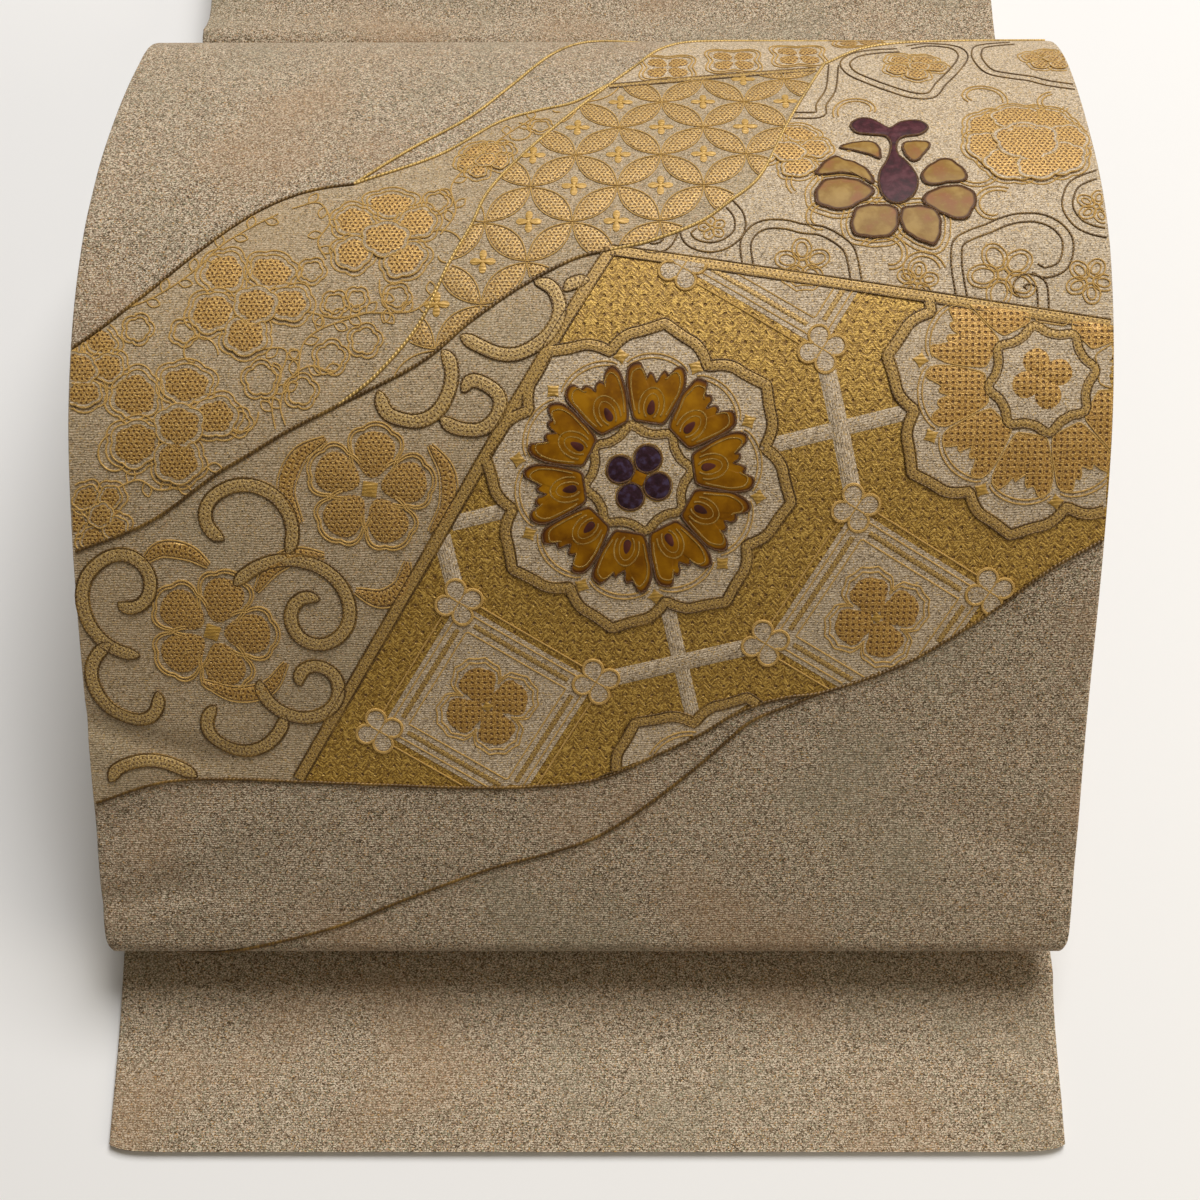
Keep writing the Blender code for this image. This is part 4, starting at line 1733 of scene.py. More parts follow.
    def build(self) -> None:
        """Works the ground, then lattice, medallions and the star round the inlaid heart."""
        grid, ground = self.lattice, Needlework()
        ground.ground(self.zone, 0.12, 110, 52)
        for column, row in ((0.5, -0.5), (-0.5, -0.5), (0.5, 0.5)):
            self.diamond(grid.centre(column, row))
        reach = grid.knot_reach
        for place in ((-0.5, -0.5), (-0.5, 0.5), (0.5, -0.5), (0.5, 0.5)):
            for right, up in ((reach, 0), (0, reach), (-reach, 0), (0, -reach)):
                self.knot(grid.beside(grid.centre(*place), right, up))
        joint, right, up = grid.lobe_in + 1.2, grid.step_right, grid.step_up
        tall, wide = (step / 2 - reach - 5.0 for step in (up, right))
        for place, start, end, half, top in (
            ((0, 0), (joint, 0), (right - joint, 0), 2.6, 0.22), ((0.5, 0), (0, -tall), (0, tall), 2.9, 0.30),
            ((0, 0), (0, -joint), (0, joint - up), 2.6, 0.22), ((0, -0.5), (-wide, 0), (wide, 0), 2.9, 0.30),
            ((-1, 0), (joint, 0), (right - joint, 0), 2.6, 0.22),
            ((-0.5, 0), (0, -tall), (0, tall), 2.9, 0.30),
        ):
            middle = grid.centre(*place)
            self.strip(grid.beside(middle, *start), grid.beside(middle, *end), half, top)
        low = grid.centre(0, -1)
        self.medallion(grid.centre(1, 0), (133.0, 180.0), True)
        self.medallion(low, (low[0] - 10, 72.5), True)
        self.medallion(grid.origin, grid.origin, False)
        self.star(grid.origin)
        ground.lay("gold_ground", GOLD_GROUND)
        self.pale.lay("medallion_grounds", MEDALLION_GROUND)
        self.satin.lay("lattice_bars", MEDALLION_GROUND)
        self.mesh.lay("medallion_mesh", WIDE_MESH)
        self.thread.lay("lattice_threads", GOLD_THREAD)
        self.gold.lay("lattice_gold_marks", GOLD_SATIN)
        self.bands.lay("medallion_bands", BAND_STITCH)
        self.cords.lay("medallion_cords", DARK_CORD)


# ---- The other zones ----


@dataclass
class LinkedCircles:
    """Overlapping circles drawn by their leaves, with a small gold cross in each space between."""

    zone: Zone
    cross_at: Pair = (7.0, 259.6)
    radius: float = 13.25
    row: float = 13.65
    leaves: Needlework = gathered()
    threads: Needlework = gathered()

    def build(self) -> None:
        """Works every leaf that has room in the zone, and every cross."""
        ground, crosses = Needlework(), Needlework()
        ground.ground(self.zone, 0.08, 70, 40)
        for i in range(-8, 8):
            for j in range(-8, 8):
                at = (self.cross_at[0] + i * self.radius, self.cross_at[1] + j * self.row)
                if (i + j) % 2:
                    for slant in (45, 135):
                        self.leaf(toward(at, slant, self.radius / math.sqrt(2)), slant)
                elif self.zone.holds(at, 2.6):
                    outline = polar(at, lambda b: 0.8 + 3.1 * np.abs(np.cos(2 * b)) ** 1.2)
                    crosses.pad(outline, at, 0.26, 0.5, rings=(1.0, 0.6))
        ground.lay("circle_ground", PALE_GROUND)
        self.leaves.lay("circle_leaves", LEAF_STITCH)
        self.threads.lay("circle_threads", GOLD_THREAD)
        crosses.lay("circle_crosses", GOLD_SATIN)

    def leaf(self, middle: Pair, slant: float) -> None:
        """One leaf: two arcs that meet in points, worked as a pad with a gold line round it.

        Args:
            middle: its middle.
            slant: its bearing.
        """
        long, wide = self.radius / math.sqrt(2) - 0.7, 0.293 * self.radius - 0.45
        turn = np.linspace(-1, 1, 13)
        bow = 1 - turn**2
        run, side = np.concatenate([turn, turn[-2:0:-1]]), np.concatenate([-bow, bow[-2:0:-1]])
        outline, edge = (turned(run * (long + grow), side * (wide + grow), slant, middle)
                         for grow in (0.0, 0.55))
        for share in (0.0, -0.55, 0.55):
            kernel = toward(middle, slant, share * long)
            if self.leaves.patch(self.zone, outline, kernel, 0.24, 0.42, 0.5, rings=(1.0, 0.85, 0.5)):
                break
        self.threads.trace(self.zone, closed(edge, 1.0), 0.24, 0.30)


OPEN_PEONY = (
    (-8.5, 9, 130, 6, 5.6), (6, 9, 70, 4.6, 6.4), (-11, -4, 195, 6.2, 5.4),
    (12, -1.5, -5, 5.6, 4.4), (-0.5, -11, -92, 5.6, 5.6), (2, -2, 80, 5, 5.8),
)
ROUND_PEONY = (
    (-8, 8, 135, 6, 6.6), (9, 7.6, 42, 5.6, 6.6), (0.5, 10.8, 90, 5, 6.6), (-11.4, -1, 185, 5.4, 6.2),
    (11.6, -1.8, -8, 5.4, 6.2), (-7.6, -9, 230, 5.6, 6.4), (7.8, -9.4, -50, 5.6, 6.4),
    (0, -11.6, -90, 4.6, 5.6), (0, -1, 85, 8, 8.6), (0.4, 0.4, 80, 4.6, 4.8),
)
BROAD_PEONY = (
    (1, 10.5, 88, 4.2, 6.8), (-9.5, 4.2, 165, 5.6, 4.6), (9.8, 3.4, 10, 5.2, 4.8),
    (-9, -7.2, 220, 5, 4.8), (7, -9.6, -55, 4.6, 6), (0.5, -2.6, 85, 5.2, 6.6),
)


@dataclass
class FlowerField:
    """What every field of worked flowers has: mesh pads, pale rims and thin gold lines."""

    zone: Zone
    mesh: Needlework = gathered()
    rims: Needlework = gathered()
    threads: Needlework = gathered()

    def peony(self, at: Pair, size: float, turn: float, petals: Sequence[tuple[float, ...]] = OPEN_PEONY,
              gap: float = 1.5) -> None:
        """Works one peony: each petal a mesh pad on a pale rim with gold lines round it, back petals first.

        Args:
            at: its middle.
            size: its radius.
            turn: how far it is turned, in degrees.
            petals: each petal's place, bearing, half length and half width in a flower of radius 17.
            gap: how far a petal's rim reaches beyond its mesh.
        """
        grown = size / 17.0
        for layer, (across, along, bearing, long, wide) in enumerate(petals):
            centre = turned(grown * across, grown * along, turn, at)
            base = 0.10 * layer

            def outline(add: float) -> Array:
                """The petal's outline, grown by add."""
                half = (grown * long + add, grown * wide + add)
                return petal_outline(centre, bearing + turn, *half, 0.25, 0.13, 6, 60)

            kernel = centre if self.zone.holds(centre, 0.4) else 0.4 * centre + 0.6 * np.array(at)
            gap = min(gap, 0.3 * grown * long)
            for add, work, low, high in ((gap + 0.2, self.rims, 0.14, 0.16), (0.0, self.mesh, 0.20, 0.34)):
                work.patch(self.zone, outline(add), kernel, low + base, high + base, 0.4,
                           rings=(1.0, 0.85, 0.5))
            lines = ((gap, 0.22 + base), (gap + 1.5, 0.16))
            for add, lift in lines[:1] if layer == len(petals) - 1 else lines:
                self.threads.trace(self.zone, closed(outline(add), 0.8), 0.30, lift)

    def sprig(self, points: Sequence[Pair], size: float = 4.6) -> None:
        """Lays a gold tendril with small pointed leaves on its two sides in turn.

        Args:
            points: places the tendril passes through.
            size: length of a leaf.
        """
        path = smooth(points, 0.9)
        self.threads.trace(self.zone, path, 0.28, inset=0.6)
        side, step = normals(path), max(3, round(1.25 * size / 0.9))
        share = np.linspace(0, 1, 9)[:, None]
        for k in range(step, len(path) - 1, step):
            run = path[k + 1] - path[k - 1]
            way = 0.7 * run / np.linalg.norm(run) + 0.7 * (1 if (k // step) % 2 else -1) * side[k]
            bow = 0.30 * size * np.sin(math.pi * share) * np.array([-way[1], way[0]])
            edge = path[k] + size * share * way
            self.threads.trace(self.zone, evenly(np.vstack([edge + bow, (edge - bow)[::-1]]), 0.6), 0.25)

    def outlined_flower(self, at: Pair, size: float, turn: float) -> None:
        """Draws a flower in pairs of thin gold lines, with a small ring in its heart.

        Args:
            at: its middle.
            size: its radius.
            turn: how far it is turned, in degrees.
        """
        lines = [ring(at, 0.18 * size, 24)]
        for k in range(5):
            bearing = turn + 72 * k
            middle = toward(at, bearing, 0.58 * size)
            lines += [petal_outline(middle, bearing, 0.48 * size + grow, 0.38 * size + grow, 0.35, 0.10, 3)
                      for grow in (0.0, -1.3)]
        for outline in lines:
            self.threads.trace(self.zone, closed(outline, 0.7), 0.25)


@dataclass
class PeonyField(FlowerField):
    """Peonies worked in mesh among thin gold tendrils, at the drum's upper left."""

    places: Rows = (
        ((-102, 207), 16.5, 0, OPEN_PEONY),
        ((-63, 229), 16.5, 0, BROAD_PEONY),
        ((-124, 170.5), 18, 12, OPEN_PEONY),
        ((-151, 188), 13, -30, BROAD_PEONY),
        ((-147, 142), 10, 60, OPEN_PEONY),
        ((-35, 258), 8, 40, BROAD_PEONY),
    )
    buds: Rows = (
        (-76.5, 205.5, 3), (-67, 194, 4), (-77, 189, 4.2), (-97.5, 182.5, 4.6), (-85.5, 179, 4),
        (-70, 207, 2.6), (-84, 216, 3.2), (-58, 207.5, 3.2), (-48, 240, 3.4), (-29, 262, 3),
        (-18, 274, 2.8), (-121, 197, 3.2), (-135, 198, 3.6), (-104, 170, 3.2),
    )
    vines: Rows = (
        ((-93, 202), (-85, 203), (-76, 201), (-67, 202.5), (-59, 202.5), (-52, 203.5), (-46, 210)),
        ((-86.5, 183), (-85.5, 192.5), (-81.5, 197), (-74.5, 200), (-67, 202.5)),
        ((-63.5, 213), (-63, 208.5), (-60, 203)),
        ((-93, 168), (-94, 175), (-92, 183), (-90, 190), (-92, 192), (-99, 191.5)),
        ((-90, 169), (-91.5, 175), (-89, 182.5), (-83, 186.5), (-76, 184)),
        ((-143, 203), (-131, 208), (-120, 216), (-112, 225), (-104, 231), (-96, 236)),
        ((-92, 238), (-84, 240), (-80, 233), (-83, 226), (-80, 220)),
        ((-46, 228), (-42, 236), (-44, 246), (-40, 254), (-30, 268), (-20, 279)),
        ((-142, 150), (-134, 153), (-128, 150), (-120, 152), (-112, 158)),
    )
    curls: Rows = (
        (-45, 222, 120, -250, (8, 6.5, 4.5, 2)),
        (-26, 270, 80, -240, (6, 5, 3, 1.5)),
        (-117, 190, 0, 260, (6.5, 5.5, 3.8, 2)),
        (-104, 172, 10, -240, (6, 5, 3.4, 1.8)),
        (-140, 160, 110, 250, (7, 5.5, 4, 2)),
        (-12, 283, 30, 230, (5, 4, 2.8, 1.4)),
    )

    def build(self) -> None:
        """Works the ground, the peonies, and the tendrils and small flowers between them."""
        ground = Needlework()
        ground.ground(self.zone, 0.08, 110, 40)
        for place in self.places:
            self.peony(*place)
        for *at, size in self.buds:
            if self.zone.holds(at, size):
                for grown in (size, size + 1.3):
                    edge = polar(
                        at, lambda b: grown * (0.84 + 0.2 * np.abs(np.cos(2.5 * b)) ** 0.7), 90, 20 * size)
                    self.threads.cord(closed(edge, 0.55), 0.28, 0.26, 5)
        for points in self.vines:
            self.sprig(points)
        for *at, start, sweep, radii in self.curls:
            self.threads.trace(self.zone, spiral(at, start, sweep, radii, 0.9), 0.30, inset=1.0)
        ground.lay("peony_ground", PALE_GROUND)
        self.rims.lay("peony_rims", PALE_GROUND)
        self.mesh.lay("peony_mesh", GOLD_MESH)
        self.threads.lay("peony_threads", GOLD_THREAD)


@dataclass
class ScrollField(FlowerField):
    """Stitched scrolls edged with dark cord, and five-petalled mesh flowers, at the drum's left."""

    bands: Needlework = gathered()
    cords: Needlework = gathered()
    marks: Needlework = gathered()
    half: float = 2.0
    spirals: Rows = (
        (-102, 139, -35, 245, (14.5, 13.3, 12.5, 12.8, 13, 8)),
        (-82, 112, 160, -444, (26, 16, 11, 10, 9.8, 8.2, 6.6, 4.1)),
        (-142, 119, -75, -375, (21, 12, 10, 12, 9, 3.5)),
        (-140, 90, 112, 227, (13.6, 12.5, 11, 11.5, 12.6, 8.5)),
        (-85, 87.5, 169, 347, (15.9, 11, 8.8, 8.8, 8.8, 7, 3)),
        (-106, 79, 0, -201, (12.6, 11.8, 11.9, 12, 12, 8.9)),
    )
    strokes: Rows = (
        ((-149, 57), (-146, 61.5), (-138.5, 64), (-130.5, 63), (-122, 58.5), (-120, 55)),
        ((-22, 212), (-13, 211), (-9.5, 205.5), (-10, 199.5), (-14, 194), (-21, 190), (-27, 190),
         (-33, 192.5), (-41, 197)),
        ((-46, 193), (-41.5, 188), (-41, 181), (-44, 174), (-49, 170.5), (-54.5, 170.5), (-60, 173),
         (-63, 181)),
        ((-37.5, 178.5), (-35, 182), (-30, 180.5), (-26.5, 177), (-27, 172), (-31, 168), (-35.5, 167.5),
         (-40, 168.5), (-44, 171)),
        ((-8, 209), (-5.5, 211.5), (-0.5, 212.5), (3.5, 211.5), (6.5, 210)),
        ((-15.5, 188.5), (-12.5, 187.5), (-10, 185.5), (-10.5, 181.5)),
    )
    flowers: Rows = (((-65, 150), 18.5, 82), ((-114, 106), 19.0, 70))
    crescents: Rows = (
        (((-70, 119), (-62, 116.5), (-56, 120), (-54, 128)), 2.6),
        (((-100, 119), (-95, 126), (-88, 130), (-79, 130)), 2.2),
        (((-92, 96), (-98, 88), (-108, 86), (-118, 90)), 2.2),
        (((-47, 137), (-42, 145), (-42, 155), (-47, 163)), 2.2),
        (((-86, 140), (-90, 150), (-86, 160), (-78, 165)), 2.4),
        (((-134, 128), (-128, 132), (-120, 131), (-114, 127)), 2.2),
    )

    def scroll(self, path: Array) -> None:
        """One scroll: a stitched band that narrows to a round tip, with a dark cord on each side.

        Args:
            path: its middle, in steps of about a millimetre.
        """
        for run in self.zone.runs(path, 0.8):
            share = np.linspace(0, 1, len(run))
            from_end = np.minimum(share, 1 - share) * len(run)
            width = self.half * np.sqrt(np.clip(from_end / (1.6 * self.half), 0.02, 1))
            self.bands.band(run, width, 0.46)
            loop = np.vstack([offset(run, width), offset(run, -width)[::-1]])
            self.cords.cord(closed(loop, 1.0), 0.32, 0.34)

    def flower(self, at: Pair, size: float, turn: float) -> None:
        """A flower of five mesh petals with a pale gap and thin scalloped lines round each.

        Args:
            at: its middle.
            size: its radius.
            turn: how far it is turned, in degrees.
        """
        for bearing in (turn + 72 * k for k in range(5)):
            centre = toward(at, bearing, 0.56 * size)
            long, wide = 0.37 * size, 0.31 * size
            outline = petal_outline(centre, bearing, long, wide, 0.6, 0.0, 6, 60)
            self.mesh.patch(self.zone, outline, centre, 0.24, 0.66, 0.4)
            for grow in (1.28, 1.42):
                outline = petal_outline(centre, bearing, long * grow, wide * grow, 0.6, 0.12, 6, 60)
                away = np.linalg.norm(outline - at, axis=1) > size * 0.42
                self.threads.trace(self.zone, evenly(outer_run(outline, away), 0.9), 0.30)
        self.marks.pad(square_mark(at, 2.2, turn), at, 0.3, 0.6, rings=(1.0, 0.6))
        self.rims.pad(polar(at, lambda b: 0.44 * size * (1 + 0.05 * np.cos(5 * b)), 40, turn), at, 0.06, 0.12)

    def crescent(self, path: Sequence[Pair], half: float) -> None:
        """A crescent leaf: a band whose width swells in its middle.

        Args:
            path: places it passes through.
            half: half its greatest width.
        """
        for run in self.zone.runs(smooth(path, 0.8), 0.6):
            width = half * np.sin(np.linspace(0.10, math.pi - 0.10, len(run))) ** 0.8
            self.mesh.band(run, width, 0.45)
            for side in (-1, 1):
                self.threads.cord(offset(run, side * (width + 0.5)), 0.24, 0.26, 5)

    def build(self) -> None:
        """Works the scrolls, the flowers and the crescents."""
        self.rims.ground(self.zone, 0.05, 90, 40)
        for *at, start, sweep, radii in self.spirals:
            self.scroll(spiral(at, start, sweep, radii))
        for points in self.strokes:
            self.scroll(smooth(points, 1.0))
        for place in self.flowers:
            self.flower(*place)
        for path, half in self.crescents:
            self.crescent(path, half)
        self.bands.lay("scroll_bands", SCROLL_STITCH)
        self.cords.lay("scroll_cords", DARK_CORD)
        self.mesh.lay("scroll_flower_mesh", GOLD_MESH)
        self.rims.lay("scroll_ground", PALE_GROUND)
        self.threads.lay("scroll_flower_threads", GOLD_THREAD)
        self.marks.lay("scroll_gold_marks", GOLD_SATIN)


@dataclass
class CloudField(FlowerField):
    """Cloud collars in paired dark cords, with peonies and small flowers, at the drum's upper right."""

    top: Zone
    cords: Needlework = gathered()
    half: float = 1.6
    collars: Rows = (
        ((40, 240), (44, 234), (44, 228), (40, 224), (35, 222.8), (30, 224.5), (28, 228), (30, 230.5)),
        ((15, 224), (18, 222.5), (22, 224), (24.5, 229)),
        ((48, 210), (46, 223), (48, 228), (52, 230.5), (58, 230.5), (63, 229), (69, 228), (75, 224),
         (77.5, 220), (79.5, 207)),
        ((111, 200), (109, 214), (109, 221), (110, 224), (114, 226.5), (119, 228.5), (123, 230.5), (128, 232),
         (134, 232), (139, 229.5), (142, 225), (142, 220), (140, 215.5), (135, 213.5), (132, 215)),
        ((134, 198), (134, 208), (133, 210.5), (130, 211.5), (127.5, 210.5), (127, 208.5), (128.5, 207)),
        ((156, 250), (147, 245.5), (144, 240), (143.5, 235), (146, 230), (150, 227.5), (156, 226)),
        ((100, 322), (92, 321), (85, 318), (81, 312), (82.5, 304.5), (89, 298), (95, 293.5), (101, 290),
         (107, 290), (111, 297), (117, 307), (121, 317.5), (119, 325), (111, 328), (104, 325)),
        ((140, 330), (129, 326), (126, 320), (125.5, 313), (128, 305), (134, 302), (140.5, 300), (146, 297),
         (156, 294)),
        ((77, 310), (75, 294), (71.5, 285), (70.5, 279.5), (62, 279)),
    )
    peonies: Rows = (
        ((134, 265), 18.5, 10, ROUND_PEONY), ((60, 262), 13, -20, BROAD_PEONY),
        ((104, 309), 9, 0, OPEN_PEONY), ((149, 314), 7.5, 30, OPEN_PEONY),
    )
    open_flowers: Rows = (
        ((122.5, 213), 10, 40), ((63, 217), 8, 20), ((148, 211), 7, 60),
        ((97, 211), 6, 10), ((152, 236), 6, 0), ((36, 229.5), 4, 30),
    )
    top_flowers: tuple[Pair, ...] = ((22, 309), (44, 314), (66, 318), (88, 334), (116, 341))
    curls: Rows = (
        (118, 252, 200, 230, (7.5, 6, 4.5, 2.5)), (122, 236, 60, 210, (7, 6, 4.5, 2.5)),
        (66, 247, 220, -220, (6, 5.5, 4, 2)), (70, 232, 30, 230, (6.5, 5.5, 4, 2)),
        (88, 219, 150, -230, (7, 6, 4.5, 2.5)), (98, 214, 10, 250, (6, 5, 3.6, 2)),
        (84, 281, 200, -210, (8, 6.5, 4.5, 2.5)), (122, 288, 340, 230, (8, 6.5, 4.5, 2.5)),
        (147, 284, 100, 220, (6, 5, 3.5, 2)), (58, 282, 0, 200, (4, 3.5, 2.5, 1.5)),
    )

    def top_flower(self, at: Pair) -> None:
        """A small flower of four mesh petals in two thin lobed lines.

        Args:
            at: its middle.
        """
        for bearing in (45, 135, 225, 315):
            heart = toward(at, bearing, 4.6)
            outline = petal_outline(heart, bearing, 3.6, 2.9, 0.6, 0.1, 5)
            self.mesh.patch(self.top, outline, heart, 0.22, 0.40, 0.4, rings=(1.0, 0.6))
        for size in (8.6, 10.0):
            edge = polar(at, lambda b: size + 1.7 * np.cos(4 * b + math.pi), 90)
            self.threads.trace(self.top, closed(edge, 0.8), 0.28)

    def build(self) -> None:
        """Works the grounds, the collars, the peonies and the thin gold lines."""
        ground = Needlework()
        ground.ground(self.zone, 0.08, 100, 40)
        ground.ground(self.top, 0.08, 60, 12)
        for points in self.collars:
            path = smooth(points, 0.9)
            for side in (-self.half, self.half):
                self.cords.trace(self.zone, offset(path, side), 0.30, 0.26, 0.5, 8)
        for place in self.peonies:
            self.peony(*place, gap=1.1)
        for place in self.open_flowers:
            self.outlined_flower(*place)
        for *at, start, sweep, radii in self.curls:
            for grow in (0.0, 1.5):
                curl = spiral(at, start, sweep, [radius + grow for radius in radii], 0.9)
                self.threads.trace(self.zone, curl, 0.28, inset=1.0)
        for at in self.top_flowers:
            self.top_flower(at)
        ground.lay("cloud_ground", MEDALLION_GROUND)
        self.cords.lay("cloud_cords", DARK_CORD)
        self.mesh.lay("cloud_peony_mesh", GOLD_MESH)
        self.rims.lay("cloud_peony_rims", MEDALLION_GROUND)
        self.threads.lay("cloud_threads", GOLD_THREAD)


# ---- The inlays ----


@dataclass
class RoundFlower:
    """Ten amber fishtail petals round a heart of four violet discs."""

    centre: Pair = (15.2, 153.1)
    petals: int = 10
    turn: float = 9.0
    disc_radius: float = 4.0
    disc_ring: float = 6.1
    disc_turn: float = 66.0
    edging: Needlework = gathered()
    threads: Needlework = gathered()
    drops: Needlework = gathered()

    def build(self) -> None:
        """Works the petals, discs, edging and the thin gold drawing on them."""
        for k in range(self.petals):
            degrees = self.turn + 360 / self.petals * k
            outline, heart = flame_petal(self.centre, degrees, k)
            body = Needlework()
            body.pad(outline, heart, 0.55, 0.85, rings=(1.0, 0.93, 0.82, 0.6, 0.3), ridge=0.12)
            body.lay(f"round_petal_{k + 1}", AMBER, f"rosette_petal_{k + 1}")
            self.edging.cord(closed(outline), 0.36, 0.62)
            self.draw(degrees, outline, heart)
        for k in range(4):
            centre = toward(self.centre, self.disc_turn + 90 * k, self.disc_ring)
            outline = polar(centre, lambda b: self.disc_radius * (1 + 0.03 * np.cos(3 * b + k)), 40)
            body = Needlework()
            body.pad(outline, centre, 0.5, 0.85, rings=(1.0, 0.94, 0.8, 0.6, 0.3))
            body.lay(f"round_disc_{k + 1}", VIOLET, f"rosette_disc_{k + 1}")
            self.edging.cord(closed(outline, 0.8), 0.34, 0.60)
            self.threads.cord(closed(ring(centre, self.disc_radius + 0.5), 0.8), 0.2, 0.5, 5)
        body = Needlework()
        body.pad(square_mark(self.centre, 1.9, self.disc_turn), self.centre, 0.6, 0.8, rings=(1.0, 0.6))
        body.lay("round_heart", AMBER)
        self.edging.lay("round_flower_edging", EDGING)
        self.threads.lay("round_flower_threads", BRIGHT_THREAD)
        self.drops.lay("round_flower_drops", WINE)

    def draw(self, degrees: float, outline: Array, heart: Array) -> None:
        """Draws a petal's dark drop, the two open ovals round it, and the gold line inside its edge.

        Args:
            degrees: the petal's bearing.
            outline: the petal's outline.
            heart: its heart.
        """
        for long, wide, opened, middle in ((3.7, 2.2, 150, 21.2), (5.2, 3.7, 122, 21.4)):
            turn = np.radians(np.linspace(-opened, opened, 30))
            oval = turned(middle + long * np.cos(turn), wide * np.sin(turn), degrees, self.centre)
            self.threads.cord(evenly(oval, 0.6), 0.30, 0.88, 5)
        turn = np.linspace(0, math.tau, 24, endpoint=False)
        side = 1.15 * np.sin(turn) * (1 - 0.25 * np.cos(turn))
        drop = turned(21.0 + 2.3 * np.cos(turn), side, degrees, self.centre)
        self.drops.pad(drop, toward(self.centre, degrees, 21.0), 0.8, 1.0, rings=(1.0, 0.7))
        self.edging.cord(closed(drop, 0.5), 0.15, 0.92, 5)
        inner = heart + 0.84 * (outline - heart)
        away, off = turned(*(inner - self.centre).T, -degrees, (0.0, 0.0)).T
        for run in marked_runs(inner, (np.abs(off) > 2.6) & (away > 19.0), 7):
            self.threads.cord(evenly(run, 0.7), 0.25, 0.84, 5)


@dataclass
class HalfOpenFlower:
    """Eight amber petals fanned round a violet calyx with a forked top."""

    petals: Rows = (
        ("foot_left", ((88.5, 237), (80.5, 236.5), (78, 232), (78.5, 227), (84, 225.5), (89, 226),
                       (91.6, 229), (91.8, 235.5))),
        ("foot_right", ((93.4, 235.5), (93.2, 229), (97, 225), (102.5, 223), (104.5, 228), (104, 234),
                        (100, 236.5))),
        ("low_right", ((99.7, 239), (103, 242.6), (108, 244.3), (113, 243.8), (116, 240), (114, 234),
                       (111, 231.5), (105, 234))),
        ("mid_right", ((100.2, 247), (101, 251), (106, 255.5), (109, 256), (112, 253), (114, 249.5),
                       (113, 246.6), (108, 246), (103, 245))),
        ("high_right", ((95.6, 263.3), (100, 264.6), (104, 263.5), (101.5, 258.5), (98.7, 255.2),
                        (96.3, 257.5))),
        ("high_left", ((76, 262), (80, 264), (85.5, 264.5), (88, 262), (88, 256.7), (85, 258.5),
                       (80, 260.5))),
        ("mid_left", ((68, 250), (71.5, 256), (74.5, 257.5), (77, 256), (80.5, 254.5), (84.3, 250.5),
                      (85.2, 245.6), (81, 249), (76, 250.4))),
        ("low_left", ((70, 246.8), (67.5, 242.5), (68, 238), (75, 235.5), (80.5, 238), (85.3, 242.3),
                      (81, 246.8), (75, 248))),
    )
    calyx: tuple[Pair, ...] = (
        (80, 273.5), (83, 276.6), (87, 276), (91.5, 271.6), (93, 272), (96, 274.6), (101.5, 275.2),
        (104.2, 272), (101.5, 268.4), (96, 267), (93.8, 264), (93.6, 258.6), (96, 255), (98.8, 248),
        (97.6, 241.8), (93.4, 238), (89.6, 238.6), (87.2, 243), (87.4, 250), (90, 255.6), (91.4, 260),
        (91.9, 264), (90.5, 267.4), (85.6, 268.4), (81.5, 269.5),
    )
    stem_at: Pair = (92.9, 247.0)
    fork_at: Pair = (92.6, 269.2)
    rings: tuple[float, ...] = (1.0, 0.94, 0.84, 0.65, 0.35)

    def build(self) -> None:
        """Works the petals, the calyx, their edging and the gold lines outside them."""
        edging, threads = Needlework(), Needlework()
        for k, (name, points) in enumerate(self.petals):
            outline = smooth(points, 0.7, closed=True)[:-1]
            centre = outline.mean(axis=0)
            share = np.linspace(0, math.tau, len(outline), endpoint=False)
            outline = centre + (outline - centre) * (1 + 0.018 * np.cos(9 * share + k))[:, None]
            body = Needlework()
            body.pad(outline, centre, 0.5, 0.85, rings=self.rings, ridge=0.1)
            body.lay(f"bud_{name}", BUD_AMBER, f"bud_petal_{name}")
            edging.cord(closed(outline), 0.36, 0.60)
            away = (outline - self.stem_at) @ (centre - self.stem_at) > 0
            for out in (-1.4, -3.0):
                run = outer_run(offset(closed(outline), out)[:-1], away)
                if len(run) > 6:
                    threads.cord(evenly(run, 0.9), 0.24, 0.28, 5)
        body = Needlework()
        fork = self.calyx[:11] + self.calyx[21:]
        for points, heart in ((self.calyx[10:22], self.stem_at), (fork, self.fork_at)):
            body.pad(smooth(points, 0.7, closed=True)[:-1], heart, 0.5, 0.85, rings=self.rings, ridge=0.08)
        body.lay("bud_calyx_form", BUD_VIOLET, "bud_calyx")
        edging.cord(smooth(self.calyx, 0.7, closed=True), 0.38, 0.60)
        edging.lay("bud_edging", EDGING)
        threads.lay("bud_threads", GOLD_THREAD)


# ---- Camera, light and surface ----


@dataclass(frozen=True)
class SoftLight:
    """One soft square light aimed at a place."""

    name: str
    at: Place
    aim: Place
    size: float
    watts: float
    colour: Colour

    def build(self) -> None:
        """Adds the light."""
        data = bpy.data.lights.new(self.name, "AREA")
        data.shape, data.size = "SQUARE", self.size
        data.energy, data.color = self.watts, self.colour
        lamp = bpy.data.objects.new(self.name, data)
        lamp.location = self.at
        way = np.array(self.aim) - np.array(self.at)
        flat = math.hypot(way[0], way[1])
        lamp.rotation_euler = (math.atan2(flat, -way[2]), 0.0, math.atan2(way[1], way[0]) - math.pi / 2)
        bpy.context.scene.collection.objects.link(lamp)


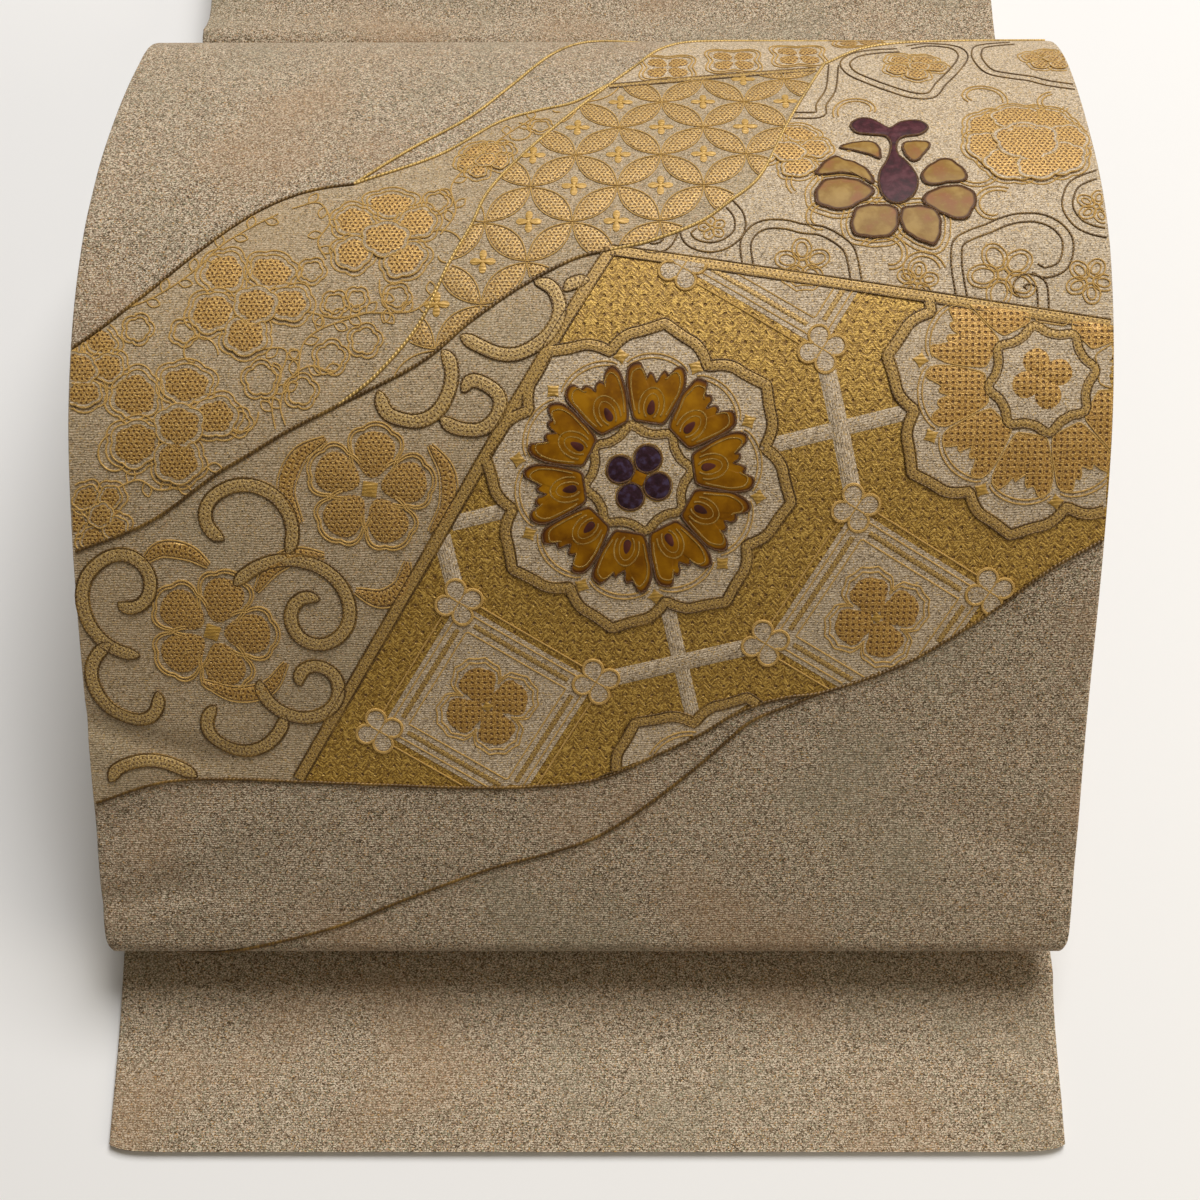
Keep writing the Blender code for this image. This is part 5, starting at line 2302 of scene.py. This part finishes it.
@dataclass(frozen=True)
class Room:
    """The camera, the lights and the pale surface."""

    camera_at: Place = (0.0018, -0.3935, 0.5495)
    camera_tilt: float = 18.74
    lens: float = 48.0
    sensor: float = 36.0
    floor_half: float = 3.0
    floor_points: int = 9
    lights: tuple[SoftLight, ...] = (
        SoftLight("back_light", (0.75, 1.95, 2.76), (0.0, -0.1, 0.05), 2.0, 143.0, (1.0, 0.99, 0.98)),
        SoftLight("side_light", (0.85, -0.5, 0.55), (0.05, -0.15, 0.05), 0.5, 2.2, (1.0, 0.90, 0.74)),
    )
    sky: Colour = (0.138, 0.119, 0.091)

    def build(self) -> None:
        """Sets up the view, the light and the surface."""
        scene = bpy.context.scene
        scene.view_settings.view_transform = "Standard"
        view = bpy.data.cameras.new("view")
        view.lens, view.sensor_width = self.lens, self.sensor
        camera = bpy.data.objects.new("view", view)
        camera.location = self.camera_at
        camera.rotation_euler = (math.radians(self.camera_tilt), 0.0, 0.0)
        scene.collection.objects.link(camera)
        scene.camera = camera
        for light in self.lights:
            light.build()
        world = bpy.data.worlds.new("pale_room")
        world.use_nodes = True
        world.node_tree.nodes["Background"].inputs[0].default_value = (*self.sky, 1.0)
        scene.world = world
        self.floor()

    def floor(self) -> None:
        """Adds the flat surface as a grid."""
        steps = np.linspace(-self.floor_half, self.floor_half, self.floor_points)
        x, y = np.meshgrid(steps, steps, indexing="xy")
        points = np.stack([x, y, np.zeros(x.shape)], axis=-1).reshape(-1, 3)
        face = grid_faces(self.floor_points, self.floor_points)
        surface = Surface()
        surface.add(points, np.zeros(len(points)), [face], [points[face][..., :2]])
        surface.build("floor", FLOOR, lambda p: p)


def main() -> None:
    """Builds the room, the cloth, the figured work and the inlays, in that order."""
    logging.basicConfig(level=logging.INFO, format="%(name)s %(message)s")
    Room().build()
    for stretch in (*STRETCHES, FOLDED_LENGTH):
        stretch.build()
    borders = Borders()
    borders.build()
    for part in (GoldGround(borders.gold), LinkedCircles(borders.circles), PeonyField(borders.peonies),
                 ScrollField(borders.scrolls), CloudField(borders.clouds, borders.top), RoundFlower(),
                 HalfOpenFlower()):
        part.build()


if __name__ == "__main__":
    main()
